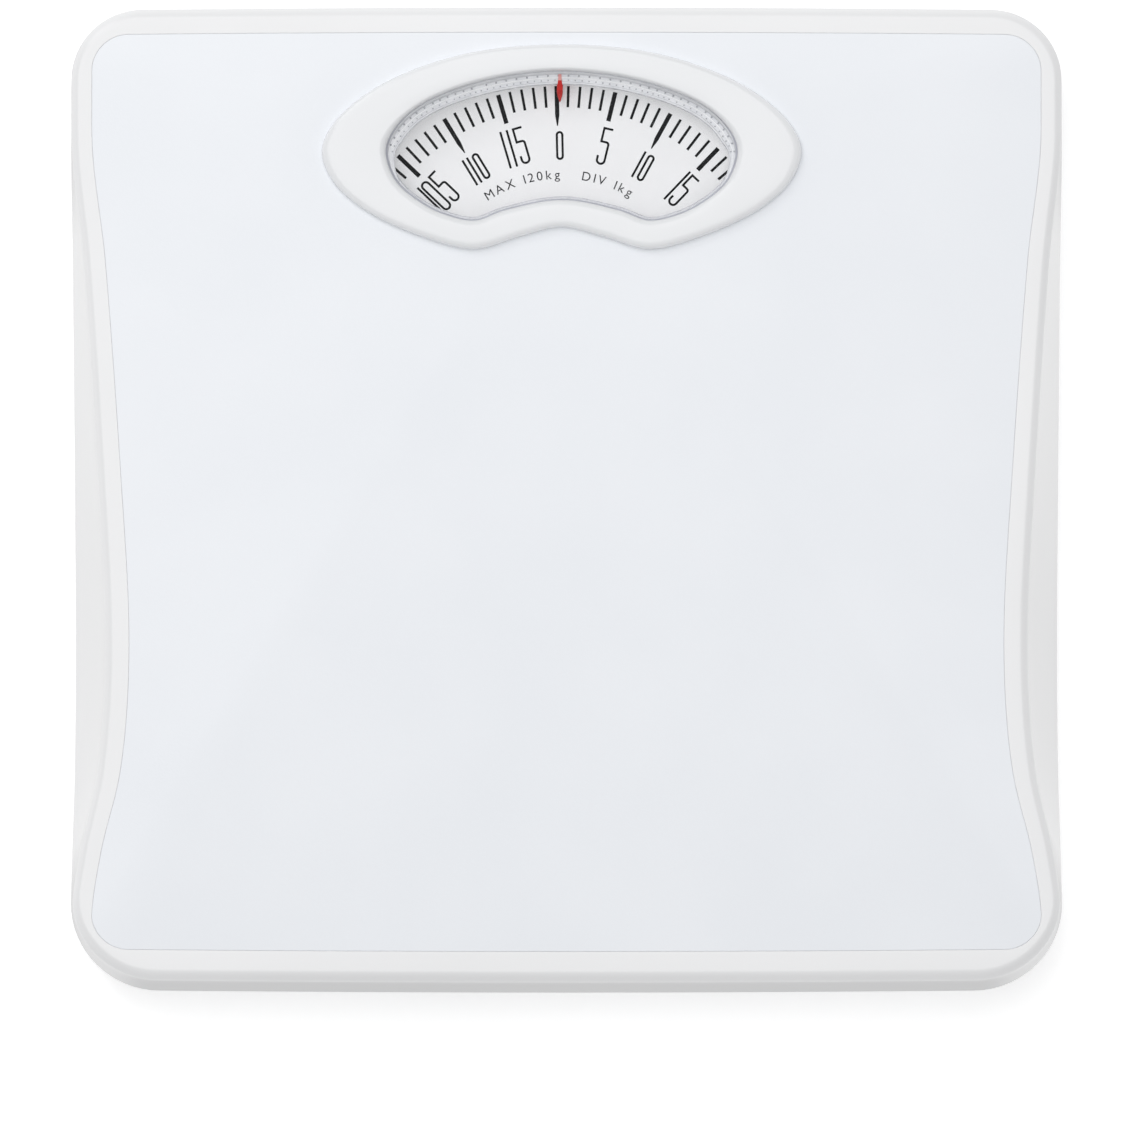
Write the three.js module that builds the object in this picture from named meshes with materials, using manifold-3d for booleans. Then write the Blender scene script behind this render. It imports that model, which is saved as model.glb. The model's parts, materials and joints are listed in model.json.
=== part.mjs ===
// Mechanical dial platform scale: a pressed steel platform on four levers, a spring, a bell crank, a rack, a dial.
// Millimetres. Origin on the floor under the middle of the scale, +X right, +Y towards the dial, +Z up.
import * as THREE from 'three';
import { mergeVertices } from 'three/addons/utils/BufferGeometryUtils.js';
import Module from 'manifold-3d';

const wasm = await Module();
wasm.setup();

// ---- Driving dimensions -------------------------------------------------------------------------------------

const HALF_WIDTH = 135; // skirt, at its lower edge
const HALF_DEPTH = 133;
const END_CROWN = 0.8; // the front and rear edges stand out this much at their middle
const SHEET = 0.8; // steel of the platform and the base tray

const FOOT_HEIGHT = 5;
const TRAY_TOP = 18;
const TRAY_FLOOR = FOOT_HEIGHT + SHEET;
const SKIRT_BOTTOM = 10;
const SHOULDER_Z = 47; // where the skirt starts to round into the top
const PLATFORM_TOP = 50;
const MAT_THICKNESS = 0.8;
const MAT_BOTTOM = PLATFORM_TOP - MAT_THICKNESS;
const MAT_GAP = 0.3; // between the mat and the edge of its recess
const PLATFORM_UNDERSIDE = MAT_BOTTOM - SHEET;
const CLEARANCE = 0.3; // between pieces that touch in the real scale

// The long sides are pinched in along the waist: [y, share of the full pinch, its slope there].
const WAIST = [[100, 0, 0], [64, 0.36, -0.0085], [-4, 0.84, -0.0065], [-40, 1, 0], [-76, 0.76, 0.0155],
  [-98, 0.25, 0.018], [-118, 0, 0]];
// Levels of the shell: how far each stands in from HALF_WIDTH and HALF_DEPTH, its pinch and its corner radii.
const SKIRT = { side: 0, pinch: 1.4, front: 0, rear: 0, frontRadius: 24, rearRadius: 19.5 };
const SHOULDER = { side: 0.4, pinch: 9.2, front: 0.3, rear: 0, frontRadius: 23.5, rearRadius: 19.2 };
const RIM = { side: 2.6, pinch: 9.4, front: 3.4, rear: 3.1, frontRadius: 21, rearRadius: 16.5 };
const MAT = { side: 6, pinch: 10.2, front: 8.6, rear: 7, frontRadius: 10, rearRadius: 10 };
const TRAY = { side: 5, pinch: 3, front: 5, rear: 5, frontRadius: 19, rearRadius: 15 };
const SHOULDER_STEPS = 3;
const FINGER_SLOT = { half: 14, bottom: 28.5, top: 37.5 }; // in the rear skirt, for the zero wheel
const STIFFENER = { y: -40, half: 10, length: 190, depth: 7, foot: 5 };

// Dial, and the window over it
const DIAL_X = -1.3;
const DIAL_Y = 50.5;
const DIAL_RADIUS = 66;
const DIAL_TOP = 41;
const DIAL_BOTTOM = DIAL_TOP - SHEET;
const BEZEL_TOP = 53;
const WINDOW_STEPS = 3; // points along each stretch of the two outlines below
const LENS = { bottom: 44.9, thickness: 1.2 };
// Right halves of the bezel's and the window's outlines, rear to front, from the dial's centre line.
const BEZEL_OUTLINE = [[0, 122.6], [27, 119.9], [49.7, 111.3], [61.9, 101.3], [65.2, 93.7], [62.5, 85.7],
  [54.3, 78], [39.5, 70.8], [23.8, 66.8], [11.4, 70.2], [0, 72.8]];
const WINDOW_OUTLINE = [[0, 115.5], [22.5, 112.5], [39, 105.8], [46, 98.8], [47.8, 93.4], [45, 85.3],
  [37.5, 79], [31, 76], [23.6, 74.6], [15.8, 77.3], [0, 80.2]];
// Shares of the way from the first outline to the second
const MAT_HOLE = 0.25;
const PLATFORM_HOLE = 0.7;
const BEZEL_FLANGE = 0.76;
const LENS_EDGE = 0.82;
const POINTER = { half: 0.8, rear: 114, waist: 110, tip: 107.5, thickness: 1.6 };

// Lever system: every lever turns about an axis along X, on a knife edge in a notch of its lower side.
const FULCRUM = { x: 100, y: 102, z: 12 };
const LOAD_ARM = 18;
const LEVER_TIP = { x: 13, y: 113 };
const LEVER = { thickness: 2, bottom: 10.8, top: 20 };
const NOTCH = { half: 1.6, depth: 1.7, gap: 0.5 };
const LINK = { x: 61.2, half: 6.4, depth: 2.4, bar: 1.2 };
const SHORT_LEVER_TIP_X = 63.7;
const STIRRUP = { x: 92.5, width: 20 }; // both levers of a side cross it within 1 mm of this x
const LEVER_HEEL = -6;
const RETAINER = { x: 100, y: 88, bottom: 11.5, top: 33 };

// Reading train
const DIAL_TRAVEL = THREE.MathUtils.degToRad(375);
const PINION_TEETH = 8;
const GEAR_MODULE = 0.4;
const PINION_RADIUS = PINION_TEETH * GEAR_MODULE / 2;
const TOOTH_PITCH = Math.PI * GEAR_MODULE;
const TOOTH_HALF = TOOTH_PITCH / 4 - 0.07; // half thickness on the pitch line, less the backlash
const ADDENDUM = 0.28;
const DEDENDUM = 0.45;
const SPINDLE_RADIUS = 0.75;
const SPINDLE_FOOT = 20.7;
const BORE = SPINDLE_RADIUS + 0.15;
const PRESSED_BORE = SPINDLE_RADIUS + 0.02;
const BEARING = { radius: 2.5, flange: 4 };
const HUB = { radius: 2, boss: 3, flange: 8, bottom: 35 };
const RACK_TRAVEL = DIAL_TRAVEL * PINION_RADIUS;
const RACK = { bottom: 26, thickness: 1.2, front: 36, rear: 88.5, right: 6.3 };
const RACK_SPRING = { x: 8, front: 62.8, rear: 101.7 };
const CRANK = { x: 3.3, y: 90, z: 13, arm: 8.7, reach: 15.8, sheet: 1.6, nose: 1.2, tipHalf: 0.75, hub: 3 };
const PIN_RADIUS = 1.5;
const CRANK_RISE = RACK.bottom + RACK.thickness / 2 - CRANK.z;
const CRANK_HALF_SWING = Math.atan(RACK_TRAVEL / 2 / CRANK_RISE);
const PLATE_TOP = CRANK.z + CRANK.arm * Math.sin(CRANK_HALF_SWING) - CRANK.nose - CLEARANCE;
const PLATE = { half: 17, front: 97.5, rear: 121, sheet: 1.5 };
const BRACKET_SHEET = 1.2;
const TOWER = { half: 25, front: 102, rear: 124, top: 30 };
const BRIDGE = { half: 48.8, front: 43.5, rear: 57.5, top: 22.2 };
const BEARING_BRACKET = { half: 12.5, front: 46, rear: 55, top: 32.2 };
const SPRING_Y = 113;
const MAIN_SPRING = { radius: 8.4, wire: 1.2, turns: 4, top: 25.9 };
const PLUG_RADIUS = 6.6;
const SCREW = { radius: 3, bottom: 24, shoulder: 27.4, top: 37 };
const WHEEL = { radius: 19.5, bottom: 30.4, height: 5, ridges: 30, ridge: 0.6 };
const FOOT = { x: 114, y: 110, radius: 9, stem: 3.8 };

const CORNERS = [['front_left', -1, -1], ['front_right', 1, -1], ['rear_left', -1, 1], ['rear_right', 1, 1]];
const SIDES = [['left', -1], ['right', 1]];

// ---- Materials ----------------------------------------------------------------------------------------------

const finish = (color, roughness, metalness = 0) =>
  new THREE.MeshStandardMaterial({ color, roughness, metalness });
const WHITE_PAINT = finish(0xf0f1f3, 0.35);
const MAT_VINYL = finish(0xeaedf1, 0.7);
const BEZEL_PLASTIC = finish(0xecedf0, 0.25);
const CLEAR_PLASTIC = finish(0xdfe4e8, 0.1);
Object.assign(CLEAR_PLASTIC, { transparent: true, opacity: 0.3 });
const DIAL_PAINT = finish(0xebebee, 0.6);
const RED = finish(0xc8341f, 0.4);
const RUBBER = finish(0x8b8d90, 0.8);
const GREY_PLASTIC = finish(0x6d7075, 0.5);
const ZINC = finish(0xb9bcc0, 0.4, 0.9);
const SPRING_STEEL = finish(0x8f9296, 0.3, 1);
const BRASS = finish(0xc7a04f, 0.35, 1);

// ---- Solids: making, placing, cutting -----------------------------------------------------------------------

function solidOf(geometry) {
  const bare = new THREE.BufferGeometry().setAttribute('position', geometry.getAttribute('position'));
  bare.setIndex(geometry.index);
  const merged = mergeVertices(bare, 1e-3);
  return new wasm.Manifold(new wasm.Mesh({
    numProp: 3,
    vertProperties: merged.attributes.position.array,
    triVerts: new Uint32Array(merged.index.array),
  }));
}

function geometryOf(solid) {
  const made = solid.getMesh();
  const vertices = new Float32Array(made.numVert * 3);
  for (let i = 0; i < made.numVert; i++) {
    vertices.set(made.vertProperties.subarray(i * made.numProp, i * made.numProp + 3), i * 3);
  }
  const geometry = new THREE.BufferGeometry();
  geometry.setAttribute('position', new THREE.BufferAttribute(vertices, 3));
  geometry.setIndex(new THREE.BufferAttribute(made.triVerts, 1));
  geometry.computeVertexNormals();
  return geometry;
}

const cut = (geometry, ...tools) =>
  geometryOf(tools.reduce((solid, tool) => solid.subtract(solidOf(tool)), solidOf(geometry)));
const join = (geometry, ...others) =>
  geometryOf(others.reduce((solid, other) => solid.add(solidOf(other)), solidOf(geometry)));

function box([x0, x1], [y0, y1], [z0, z1]) {
  return new THREE.BoxGeometry(x1 - x0, y1 - y0, z1 - z0)
    .translate((x0 + x1) / 2, (y0 + y1) / 2, (z0 + z1) / 2);
}

function rod(radius, [z0, z1], x = 0, y = 0, segments = 24) {
  return new THREE.CylinderGeometry(radius, radius, z1 - z0, segments)
    .rotateX(Math.PI / 2).translate(x, y, (z0 + z1) / 2);
}

function crossRod(radius, [x0, x1], y, z, segments = 20) {
  return new THREE.CylinderGeometry(radius, radius, x1 - x0, segments)
    .rotateZ(Math.PI / 2).translate((x0 + x1) / 2, y, z);
}

const shapeOf = (points) => new THREE.Shape(points.map(([a, b]) => new THREE.Vector2(a, b)));
const extrude = (shape, depth) => new THREE.ExtrudeGeometry(shape, { depth, bevelEnabled: false });

// A plan outline, standing from z0 to z1.
const slab = (points, [z0, z1]) => extrude(shapeOf(points), z1 - z0).translate(0, 0, z0);

// A section drawn as [y, z], running along X from x0 to x1.
function alongX(points, [x0, x1]) {
  return extrude(shapeOf(points), x1 - x0)
    .rotateX(Math.PI / 2).rotateZ(Math.PI / 2).translate(x0, 0, 0);
}

// A section drawn as [x, z], running along Y from y0 to y1.
function alongY(points, [y0, y1]) {
  return extrude(shapeOf(points), y1 - y0).rotateX(Math.PI / 2).translate(0, y1, 0);
}

// A section drawn as [radius, z], bottom to top on its outside, turned about a vertical axis.
function turned(points, x, y, segments = 16) {
  const profile = points.map(([r, z]) => new THREE.Vector2(r, z));
  return new THREE.LatheGeometry(profile, segments).rotateX(Math.PI / 2).translate(x, y, 0);
}

class Helix extends THREE.Curve {
  constructor(start, axis, radius, turns) {
    super();
    Object.assign(this, { start, axis, radius, turns });
    this.side = new THREE.Vector3(1, 0, 0);
    this.up = axis.clone().normalize().cross(this.side);
  }

  getPoint(t, target = new THREE.Vector3()) {
    const angle = t * this.turns * 2 * Math.PI;
    return target.copy(this.start).addScaledVector(this.axis, t)
      .addScaledVector(this.side, this.radius * Math.cos(angle))
      .addScaledVector(this.up, this.radius * Math.sin(angle));
  }
}

// A coil spring from start, along axis to the middle of its last turn.
function spring({ start, axis, radius, wire, turns, sides = 5, stepsPerTurn = 10 }) {
  const section = [...Array(sides).keys()].map((i) => {
    const angle = 2 * Math.PI * i / sides;
    return [wire * Math.cos(angle), wire * Math.sin(angle)];
  });
  const extrudePath = new Helix(new THREE.Vector3(...start), new THREE.Vector3(...axis), radius, turns);
  return new THREE.ExtrudeGeometry(shapeOf(section), { steps: Math.round(turns * stepsPerTurn), extrudePath });
}

const part = new THREE.Group();
part.name = 'mechanical_dial_scale';

function add(name, geometry, material) {
  const mesh = new THREE.Mesh(geometry, material);
  mesh.name = name;
  part.add(mesh);
  return mesh;
}

// ---- Shell outlines -----------------------------------------------------------------------------------------

// Share of the waist's pinch at y: cubic stretches through the WAIST stations.
function waistShare(y) {
  const next = WAIST.findIndex(([station]) => station <= y);
  if (next <= 0) return 0;
  const [[y0, v0, s0], [y1, v1, s1]] = [WAIST[next - 1], WAIST[next]];
  const span = y1 - y0;
  const t = (y - y0) / span;
  return v0 * (1 + 2 * t) * (1 - t) ** 2 + v1 * t * t * (3 - 2 * t)
    + span * (s0 * t * (1 - t) ** 2 + s1 * t * t * (t - 1));
}

const steps = (from, to, count) => [...Array(count + 1).keys()].map((i) => from + (to - from) * i / count);

// Rounded rectangle with pinched sides and crowned ends, counter-clockwise from the middle of the front edge.
function planOutline(level, cornerSteps = 6, sideSteps = 18, endSteps = 3) {
  const width = HALF_WIDTH - level.side;
  const front = level.front - HALF_DEPTH;
  const rear = HALF_DEPTH - level.rear;
  const arc = (y, radius, from) => steps(from, from + Math.PI / 2, cornerSteps)
    .map((angle) => [width - radius + radius * Math.cos(angle), y + radius * Math.sin(angle)]);
  const half = [
    ...steps(0, width - level.frontRadius, endSteps).slice(0, -1).map((x) => [x, front]),
    ...arc(front + level.frontRadius, level.frontRadius, -Math.PI / 2),
    ...steps(front + level.frontRadius, rear - level.rearRadius, sideSteps).slice(1, -1).map((y) => [width, y]),
    ...arc(rear - level.rearRadius, level.rearRadius, 0),
    ...steps(width - level.rearRadius, 0, endSteps).slice(1).map((x) => [x, rear]),
  ].map(([x, y]) => {
    const across = x / width;
    return [x - across * level.pinch * waistShare(y), y - END_CROWN * across ** 2 * (y / HALF_DEPTH) ** 3];
  });
  return [...half, ...half.slice(1, -1).reverse().map(([x, y]) => [-x, y])];
}

const blend = (a, b, t) => Object.fromEntries(Object.keys(a).map((key) => [key, a[key] + (b[key] - a[key]) * t]));

function inset(level, distance) {
  const { side, pinch, front, rear, frontRadius, rearRadius } = level;
  return { side: side + distance, pinch, front: front + distance, rear: rear + distance,
    frontRadius: frontRadius - distance, rearRadius: rearRadius - distance };
}

// Skin over rings of equal length. The rings either close on themselves or are capped at both ends.
function loft(rings, closed = false) {
  const count = rings[0].points.length;
  const positions = rings.flatMap(({ points, z }) => points.flatMap(([x, y]) => [x, y, z]));
  const faces = [];
  for (let k = 0; k < rings.length - (closed ? 0 : 1); k++) {
    const [low, high] = [k * count, ((k + 1) % rings.length) * count];
    for (let i = 0; i < count; i++) {
      const j = (i + 1) % count;
      faces.push(low + i, low + j, high + j, low + i, high + j, high + i);
    }
  }
  if (!closed) {
    const cap = ({ points }) =>
      THREE.ShapeUtils.triangulateShape(points.map(([x, y]) => new THREE.Vector2(x, y)), []);
    const top = (rings.length - 1) * count;
    cap(rings[0]).forEach(([a, b, c]) => faces.push(a, c, b));
    cap(rings.at(-1)).forEach(([a, b, c]) => faces.push(top + a, top + b, top + c));
  }
  return new THREE.BufferGeometry()
    .setAttribute('position', new THREE.Float32BufferAttribute(positions, 3))
    .setIndex(faces);
}

// Outline a share of the way from the bezel's outer edge to the window, counter-clockwise.
function windowRing(share) {
  const right = BEZEL_OUTLINE.map(([x, y], i) => {
    const [wx, wy] = WINDOW_OUTLINE[i];
    return [x + (wx - x) * share, y + (wy - y) * share];
  });
  const all = [...right, ...right.slice(1, -1).reverse().map(([x, y]) => [-x, y])].reverse();
  const curve = new THREE.CatmullRomCurve3(all.map(([x, y]) => new THREE.Vector3(x + DIAL_X, y, 0)), true);
  return steps(0, 1, all.length * WINDOW_STEPS).slice(0, -1).map((t) => {
    const { x, y } = curve.getPoint(t);
    return [x, y];
  });
}

// ---- Shell --------------------------------------------------------------------------------------------------

function platformCover() {
  const outer = [{ level: SKIRT, z: SKIRT_BOTTOM }];
  for (const turn of steps(0, Math.PI / 2, SHOULDER_STEPS)) {
    outer.push({
      level: blend(SHOULDER, RIM, 1 - Math.cos(turn)),
      z: SHOULDER_Z + (PLATFORM_TOP - SHOULDER_Z) * Math.sin(turn),
    });
  }
  const inner = [
    { level: inset(SKIRT, SHEET), z: SKIRT_BOTTOM - 1 },
    { level: inset(SHOULDER, SHEET), z: SHOULDER_Z - SHEET },
    { level: inset(RIM, SHEET), z: PLATFORM_UNDERSIDE },
  ];
  const skin = (levels) => loft(levels.map(({ level, z }) => ({ points: planOutline(level), z })));
  return cut(
    skin(outer),
    skin(inner),
    slab(planOutline(MAT), [MAT_BOTTOM, PLATFORM_TOP + 1]),
    slab(windowRing(PLATFORM_HOLE), [PLATFORM_UNDERSIDE - 1, PLATFORM_TOP + 1]),
    box([-FINGER_SLOT.half, FINGER_SLOT.half], [TOWER.rear + 1, HALF_DEPTH + 1],
      [FINGER_SLOT.bottom, FINGER_SLOT.top]),
  );
}

function platformMat() {
  return cut(
    slab(planOutline(inset(MAT, MAT_GAP)), [MAT_BOTTOM, PLATFORM_TOP]),
    slab(windowRing(MAT_HOLE), [MAT_BOTTOM - 1, PLATFORM_TOP + 1]),
  );
}

function dialBezel() {
  const bottom = LENS.bottom + LENS.thickness + CLEARANCE;
  const section = [[0, PLATFORM_TOP], [0.03, PLATFORM_TOP + 1], [0.25, BEZEL_TOP - 0.5], [0.5, BEZEL_TOP],
    [0.8, BEZEL_TOP - 0.6], [1, BEZEL_TOP - 2], [1, bottom], [BEZEL_FLANGE, bottom], [BEZEL_FLANGE, PLATFORM_TOP]];
  return loft(section.map(([share, z]) => ({ points: windowRing(share), z })), true);
}

function zeroPointer() {
  const { half, rear, waist, tip, thickness } = POINTER;
  const outline = [[-half, rear], [-half, waist], [0, tip], [half, waist], [half, rear]];
  return slab(outline.map(([x, y]) => [x + DIAL_X, y]), [LENS.bottom - thickness, LENS.bottom]);
}

function baseTray() {
  return cut(
    slab(planOutline(TRAY), [FOOT_HEIGHT, TRAY_TOP]),
    slab(planOutline(inset(TRAY, SHEET)), [TRAY_FLOOR, TRAY_TOP + 1]),
    ...CORNERS.map(([, sx, sy]) => rod(FOOT.stem + 0.2, [0, TRAY_TOP], sx * FOOT.x, sy * FOOT.y, 16)),
  );
}

function foot(x, y) {
  const chamfer = 0.8;
  const head = TRAY_FLOOR + 0.2;
  return turned([[0, 0], [FOOT.radius - chamfer, 0], [FOOT.radius, chamfer], [FOOT.radius, FOOT_HEIGHT],
    [FOOT.stem, FOOT_HEIGHT], [FOOT.stem, head], [FOOT.stem + 1.7, head], [FOOT.stem + 0.7, head + 2],
    [0, head + 2]], x, y);
}

// ---- Brackets -----------------------------------------------------------------------------------------------

// Bent strip: two feet at z = base, two walls, and a crown at z = crown, above or below the feet.
function hat({ centre = 0, half, foot: flange, base, crown, sheet }) {
  const t = Math.sign(crown - base) * sheet;
  return [[-half - flange, base], [-half - flange, base + t], [-half, base + t], [-half, crown], [half, crown],
    [half, base + t], [half + flange, base + t], [half + flange, base], [half - sheet, base],
    [half - sheet, crown - t], [-half + sheet, crown - t], [-half + sheet, base]].map(([a, b]) => [a + centre, b]);
}

function springTower() {
  const section = hat({ half: TOWER.half, foot: 8, base: TRAY_FLOOR, crown: TOWER.top, sheet: BRACKET_SHEET });
  const hook = box([RACK_SPRING.x - 1, RACK_SPRING.x + 1], [TOWER.front, TOWER.front + BRACKET_SHEET],
    [RACK.bottom - 1, TOWER.top - BRACKET_SHEET / 2]);
  return cut(
    join(alongY(section, [TOWER.front, TOWER.rear]), hook),
    rod(SCREW.radius + 0.6, [TOWER.top - 2, TOWER.top + 1], 0, SPRING_Y),
  );
}

function dialBridge() {
  const section = hat({
    centre: DIAL_X, half: BRIDGE.half, foot: 8, base: TRAY_FLOOR, crown: BRIDGE.top, sheet: BRACKET_SHEET,
  });
  return cut(alongY(section, [BRIDGE.front, BRIDGE.rear]),
    rod(BEARING.radius + CLEARANCE, [BRIDGE.top - 2, BRIDGE.top + 1], DIAL_X, DIAL_Y));
}

function bearingBracket() {
  const { half, front, rear, top } = BEARING_BRACKET;
  const section = hat({ centre: DIAL_X, half, foot: 4, base: BRIDGE.top, crown: top, sheet: BRACKET_SHEET });
  return cut(alongY(section, [front, rear]),
    rod(BEARING.radius + CLEARANCE, [top - 2, top + 1], DIAL_X, DIAL_Y));
}

function lowerBearing() {
  const floor = SPINDLE_FOOT - CLEARANCE;
  const top = BRIDGE.top + 1;
  return turned([[0, floor - 1], [BEARING.radius, floor - 1], [BEARING.radius, BRIDGE.top],
    [BEARING.flange, BRIDGE.top], [BEARING.flange, top], [BORE, top], [BORE, floor], [0, floor]], DIAL_X, DIAL_Y);
}

function upperBearing() {
  const { top } = BEARING_BRACKET;
  const bottom = top - 1.8;
  return turned([[BORE, bottom], [BEARING.radius, bottom], [BEARING.radius, top], [BEARING.flange, top],
    [BEARING.flange, top + 1], [BORE, top + 1], [BORE, bottom]], DIAL_X, DIAL_Y);
}

function rackGuide() {
  const [inner, outer] = [4.6, 8];
  const wall = RACK.right + 0.4;
  const lip = RACK.bottom + RACK.thickness + 0.4;
  const shelf = RACK.bottom - 0.4;
  return alongY([[inner, BRIDGE.top], [outer, BRIDGE.top], [outer, lip + BRACKET_SHEET],
    [inner, lip + BRACKET_SHEET], [inner, lip], [wall, lip], [wall, shelf], [inner, shelf]],
  [BEARING_BRACKET.front, BEARING_BRACKET.rear + 1]);
}

function crankBracket() {
  const { x, y, z } = CRANK;
  const half = 7.3;
  const ear = (at) => box([at, at + BRACKET_SHEET], [y - 4, y + 4], [TRAY_FLOOR, z + 3.5]);
  return cut(
    join(box([x - half, x + half], [y - 6, y + 6], [TRAY_FLOOR, TRAY_FLOOR + BRACKET_SHEET]),
      ear(x - half), ear(x + half - BRACKET_SHEET)),
    crossRod(PIN_RADIUS + 0.1, [x - half - 1, x + half + 1], y, z),
  );
}

function fulcrumPost(sx, sy) {
  const half = BRACKET_SHEET;
  const knife = 0.7;
  const side = sy * FULCRUM.y;
  const shoulder = LEVER.bottom - 0.6;
  const section = [[half, TRAY_FLOOR], [-9, TRAY_FLOOR], [-9, TRAY_FLOOR + BRACKET_SHEET],
    [-half, TRAY_FLOOR + BRACKET_SHEET], [-half, shoulder], [-knife, shoulder + 0.3], [0, FULCRUM.z],
    [knife, shoulder + 0.3], [half, shoulder]];
  return alongX(section.map(([d, z]) => [side + sy * d, z]), [sx * FULCRUM.x - 9, sx * FULCRUM.x + 9]);
}

// Hanging knife edge on a lever's load notch, with an ear for the retaining spring's upper end.
function stirrup(sx, sy) {
  const half = 1;
  const knife = 0.7;
  const side = sy * (FULCRUM.y - LOAD_ARM);
  const tip = LEVER.top - NOTCH.depth + NOTCH.gap;
  const section = [[half, tip + 2], [knife, tip + 1.5], [0, tip], [-knife, tip + 1.5], [-half, tip + 2],
    [-half, PLATFORM_UNDERSIDE - BRACKET_SHEET], [-12, PLATFORM_UNDERSIDE - BRACKET_SHEET],
    [-12, PLATFORM_UNDERSIDE], [half, PLATFORM_UNDERSIDE]];
  const ends = [sx * STIRRUP.x - STIRRUP.width / 2, sx * STIRRUP.x + STIRRUP.width / 2];
  const web = alongX(section.map(([d, z]) => [side + sy * d, z]), ends);
  const earRun = [side + sy * (half - 0.2), side + sy * 7].sort((a, b) => a - b);
  const ear = box([sx * RETAINER.x - 2, sx * RETAINER.x + 2], earRun, [RETAINER.top + 0.8, RETAINER.top + 2]);
  return join(web, ear);
}

function retainerAnchor(sx, sy) {
  const height = 4;
  const half = 3;
  const section = [[-half, 0], [half, 0], [half, 1], [-half + 1, 1], [-half + 1, height], [-half, height]];
  return alongX(section.map(([d, z]) => [sy * (RETAINER.y + d), TRAY_FLOOR + z]),
    [sx * RETAINER.x - half, sx * RETAINER.x + half]);
}

function platformStiffener() {
  const { y, half, length, depth, foot: flange } = STIFFENER;
  const crown = PLATFORM_UNDERSIDE - depth;
  const section = hat({ centre: y, half, foot: flange, base: PLATFORM_UNDERSIDE, crown, sheet: SHEET });
  return alongX(section, [-length / 2, length / 2]);
}

// ---- Levers -------------------------------------------------------------------------------------------------

// Strip on edge from its fulcrum to its tip. The section is drawn as [run towards the tip along Y, z].
function leverStrip(from, to, section) {
  const [dx, dy] = [to[0] - from[0], to[1] - from[1]];
  const stretch = Math.hypot(dx, dy) / Math.abs(dy);
  return alongX(section.map(([run, z]) => [run * stretch, z]), [-LEVER.thickness / 2, LEVER.thickness / 2])
    .rotateZ(Math.atan2(-dx, dy)).translate(from[0], from[1], 0);
}

const fulcrumNotch = [[-NOTCH.half, LEVER.bottom], [0, FULCRUM.z + NOTCH.gap], [NOTCH.half, LEVER.bottom]];
const loadNotch = [[LOAD_ARM + NOTCH.half, LEVER.top], [LOAD_ARM, LEVER.top - NOTCH.depth],
  [LOAD_ARM - NOTCH.half, LEVER.top]];

function longLever(sx) {
  const reach = LEVER_TIP.y + FULCRUM.y;
  const noseBottom = PLATE_TOP + CLEARANCE;
  const section = [[LEVER_HEEL, LEVER.bottom], ...fulcrumNotch, [FULCRUM.y, LEVER.bottom],
    [reach - 13, noseBottom], [reach + 3, noseBottom], [reach + 3, noseBottom + 3.3],
    [reach - 35, LEVER.top], ...loadNotch, [LEVER_HEEL, LEVER.top]];
  return leverStrip([sx * FULCRUM.x, -FULCRUM.y], [sx * LEVER_TIP.x, LEVER_TIP.y], section);
}

function shortLever(sx) {
  const tip = FULCRUM.y + 1.5;
  const section = [[LEVER_HEEL, LEVER.bottom], ...fulcrumNotch, [tip, LEVER.bottom], [tip, LEVER.top - 4],
    [60, LEVER.top], ...loadNotch, [LEVER_HEEL, LEVER.top]];
  return leverStrip([sx * FULCRUM.x, FULCRUM.y], [sx * SHORT_LEVER_TIP_X, 0], section);
}

// Closed loop hanging on a long lever; the short lever's tip stands on its lower bar.
function couplingLink(sx) {
  const x = sx * LINK.x;
  const [bottom, top] = [LEVER.bottom - 0.4, LEVER.top + CLEARANCE];
  const ends = [-LINK.depth / 2, LINK.depth / 2];
  return cut(
    box([x - LINK.half, x + LINK.half], ends, [bottom - LINK.bar, top + 2]),
    box([x - LINK.half + LINK.bar, x + LINK.half - LINK.bar], ends.map((y) => y * 2), [bottom, top]),
  );
}

// ---- Reading train ------------------------------------------------------------------------------------------

const calibratingPlate = () =>
  box([-PLATE.half, PLATE.half], [PLATE.front, PLATE.rear], [PLATE_TOP - PLATE.sheet, PLATE_TOP]);
const lowerPlug = () => rod(PLUG_RADIUS, [PLATE_TOP, PLATE_TOP + 4], 0, SPRING_Y);

// Bell crank, drawn with its arms along +Y and +Z, then leant back by half its swing.
function bellCrank() {
  const sheet = [CRANK.x - CRANK.sheet / 2, CRANK.x + CRANK.sheet / 2];
  const body = join(
    crossRod(CRANK.hub, [CRANK.x - 5.5, CRANK.x + 5.5], 0, 0),
    box(sheet, [0, CRANK.arm], [-0.9, 0.9]),
    crossRod(CRANK.nose, sheet, CRANK.arm, 0),
    box(sheet, [-CRANK.tipHalf, CRANK.tipHalf], [0, CRANK.reach]),
  );
  return cut(body, crossRod(PIN_RADIUS + 0.1, [CRANK.x - 6, CRANK.x + 6], 0, 0))
    .rotateX(CRANK_HALF_SWING).translate(0, CRANK.y, CRANK.z);
}

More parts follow.
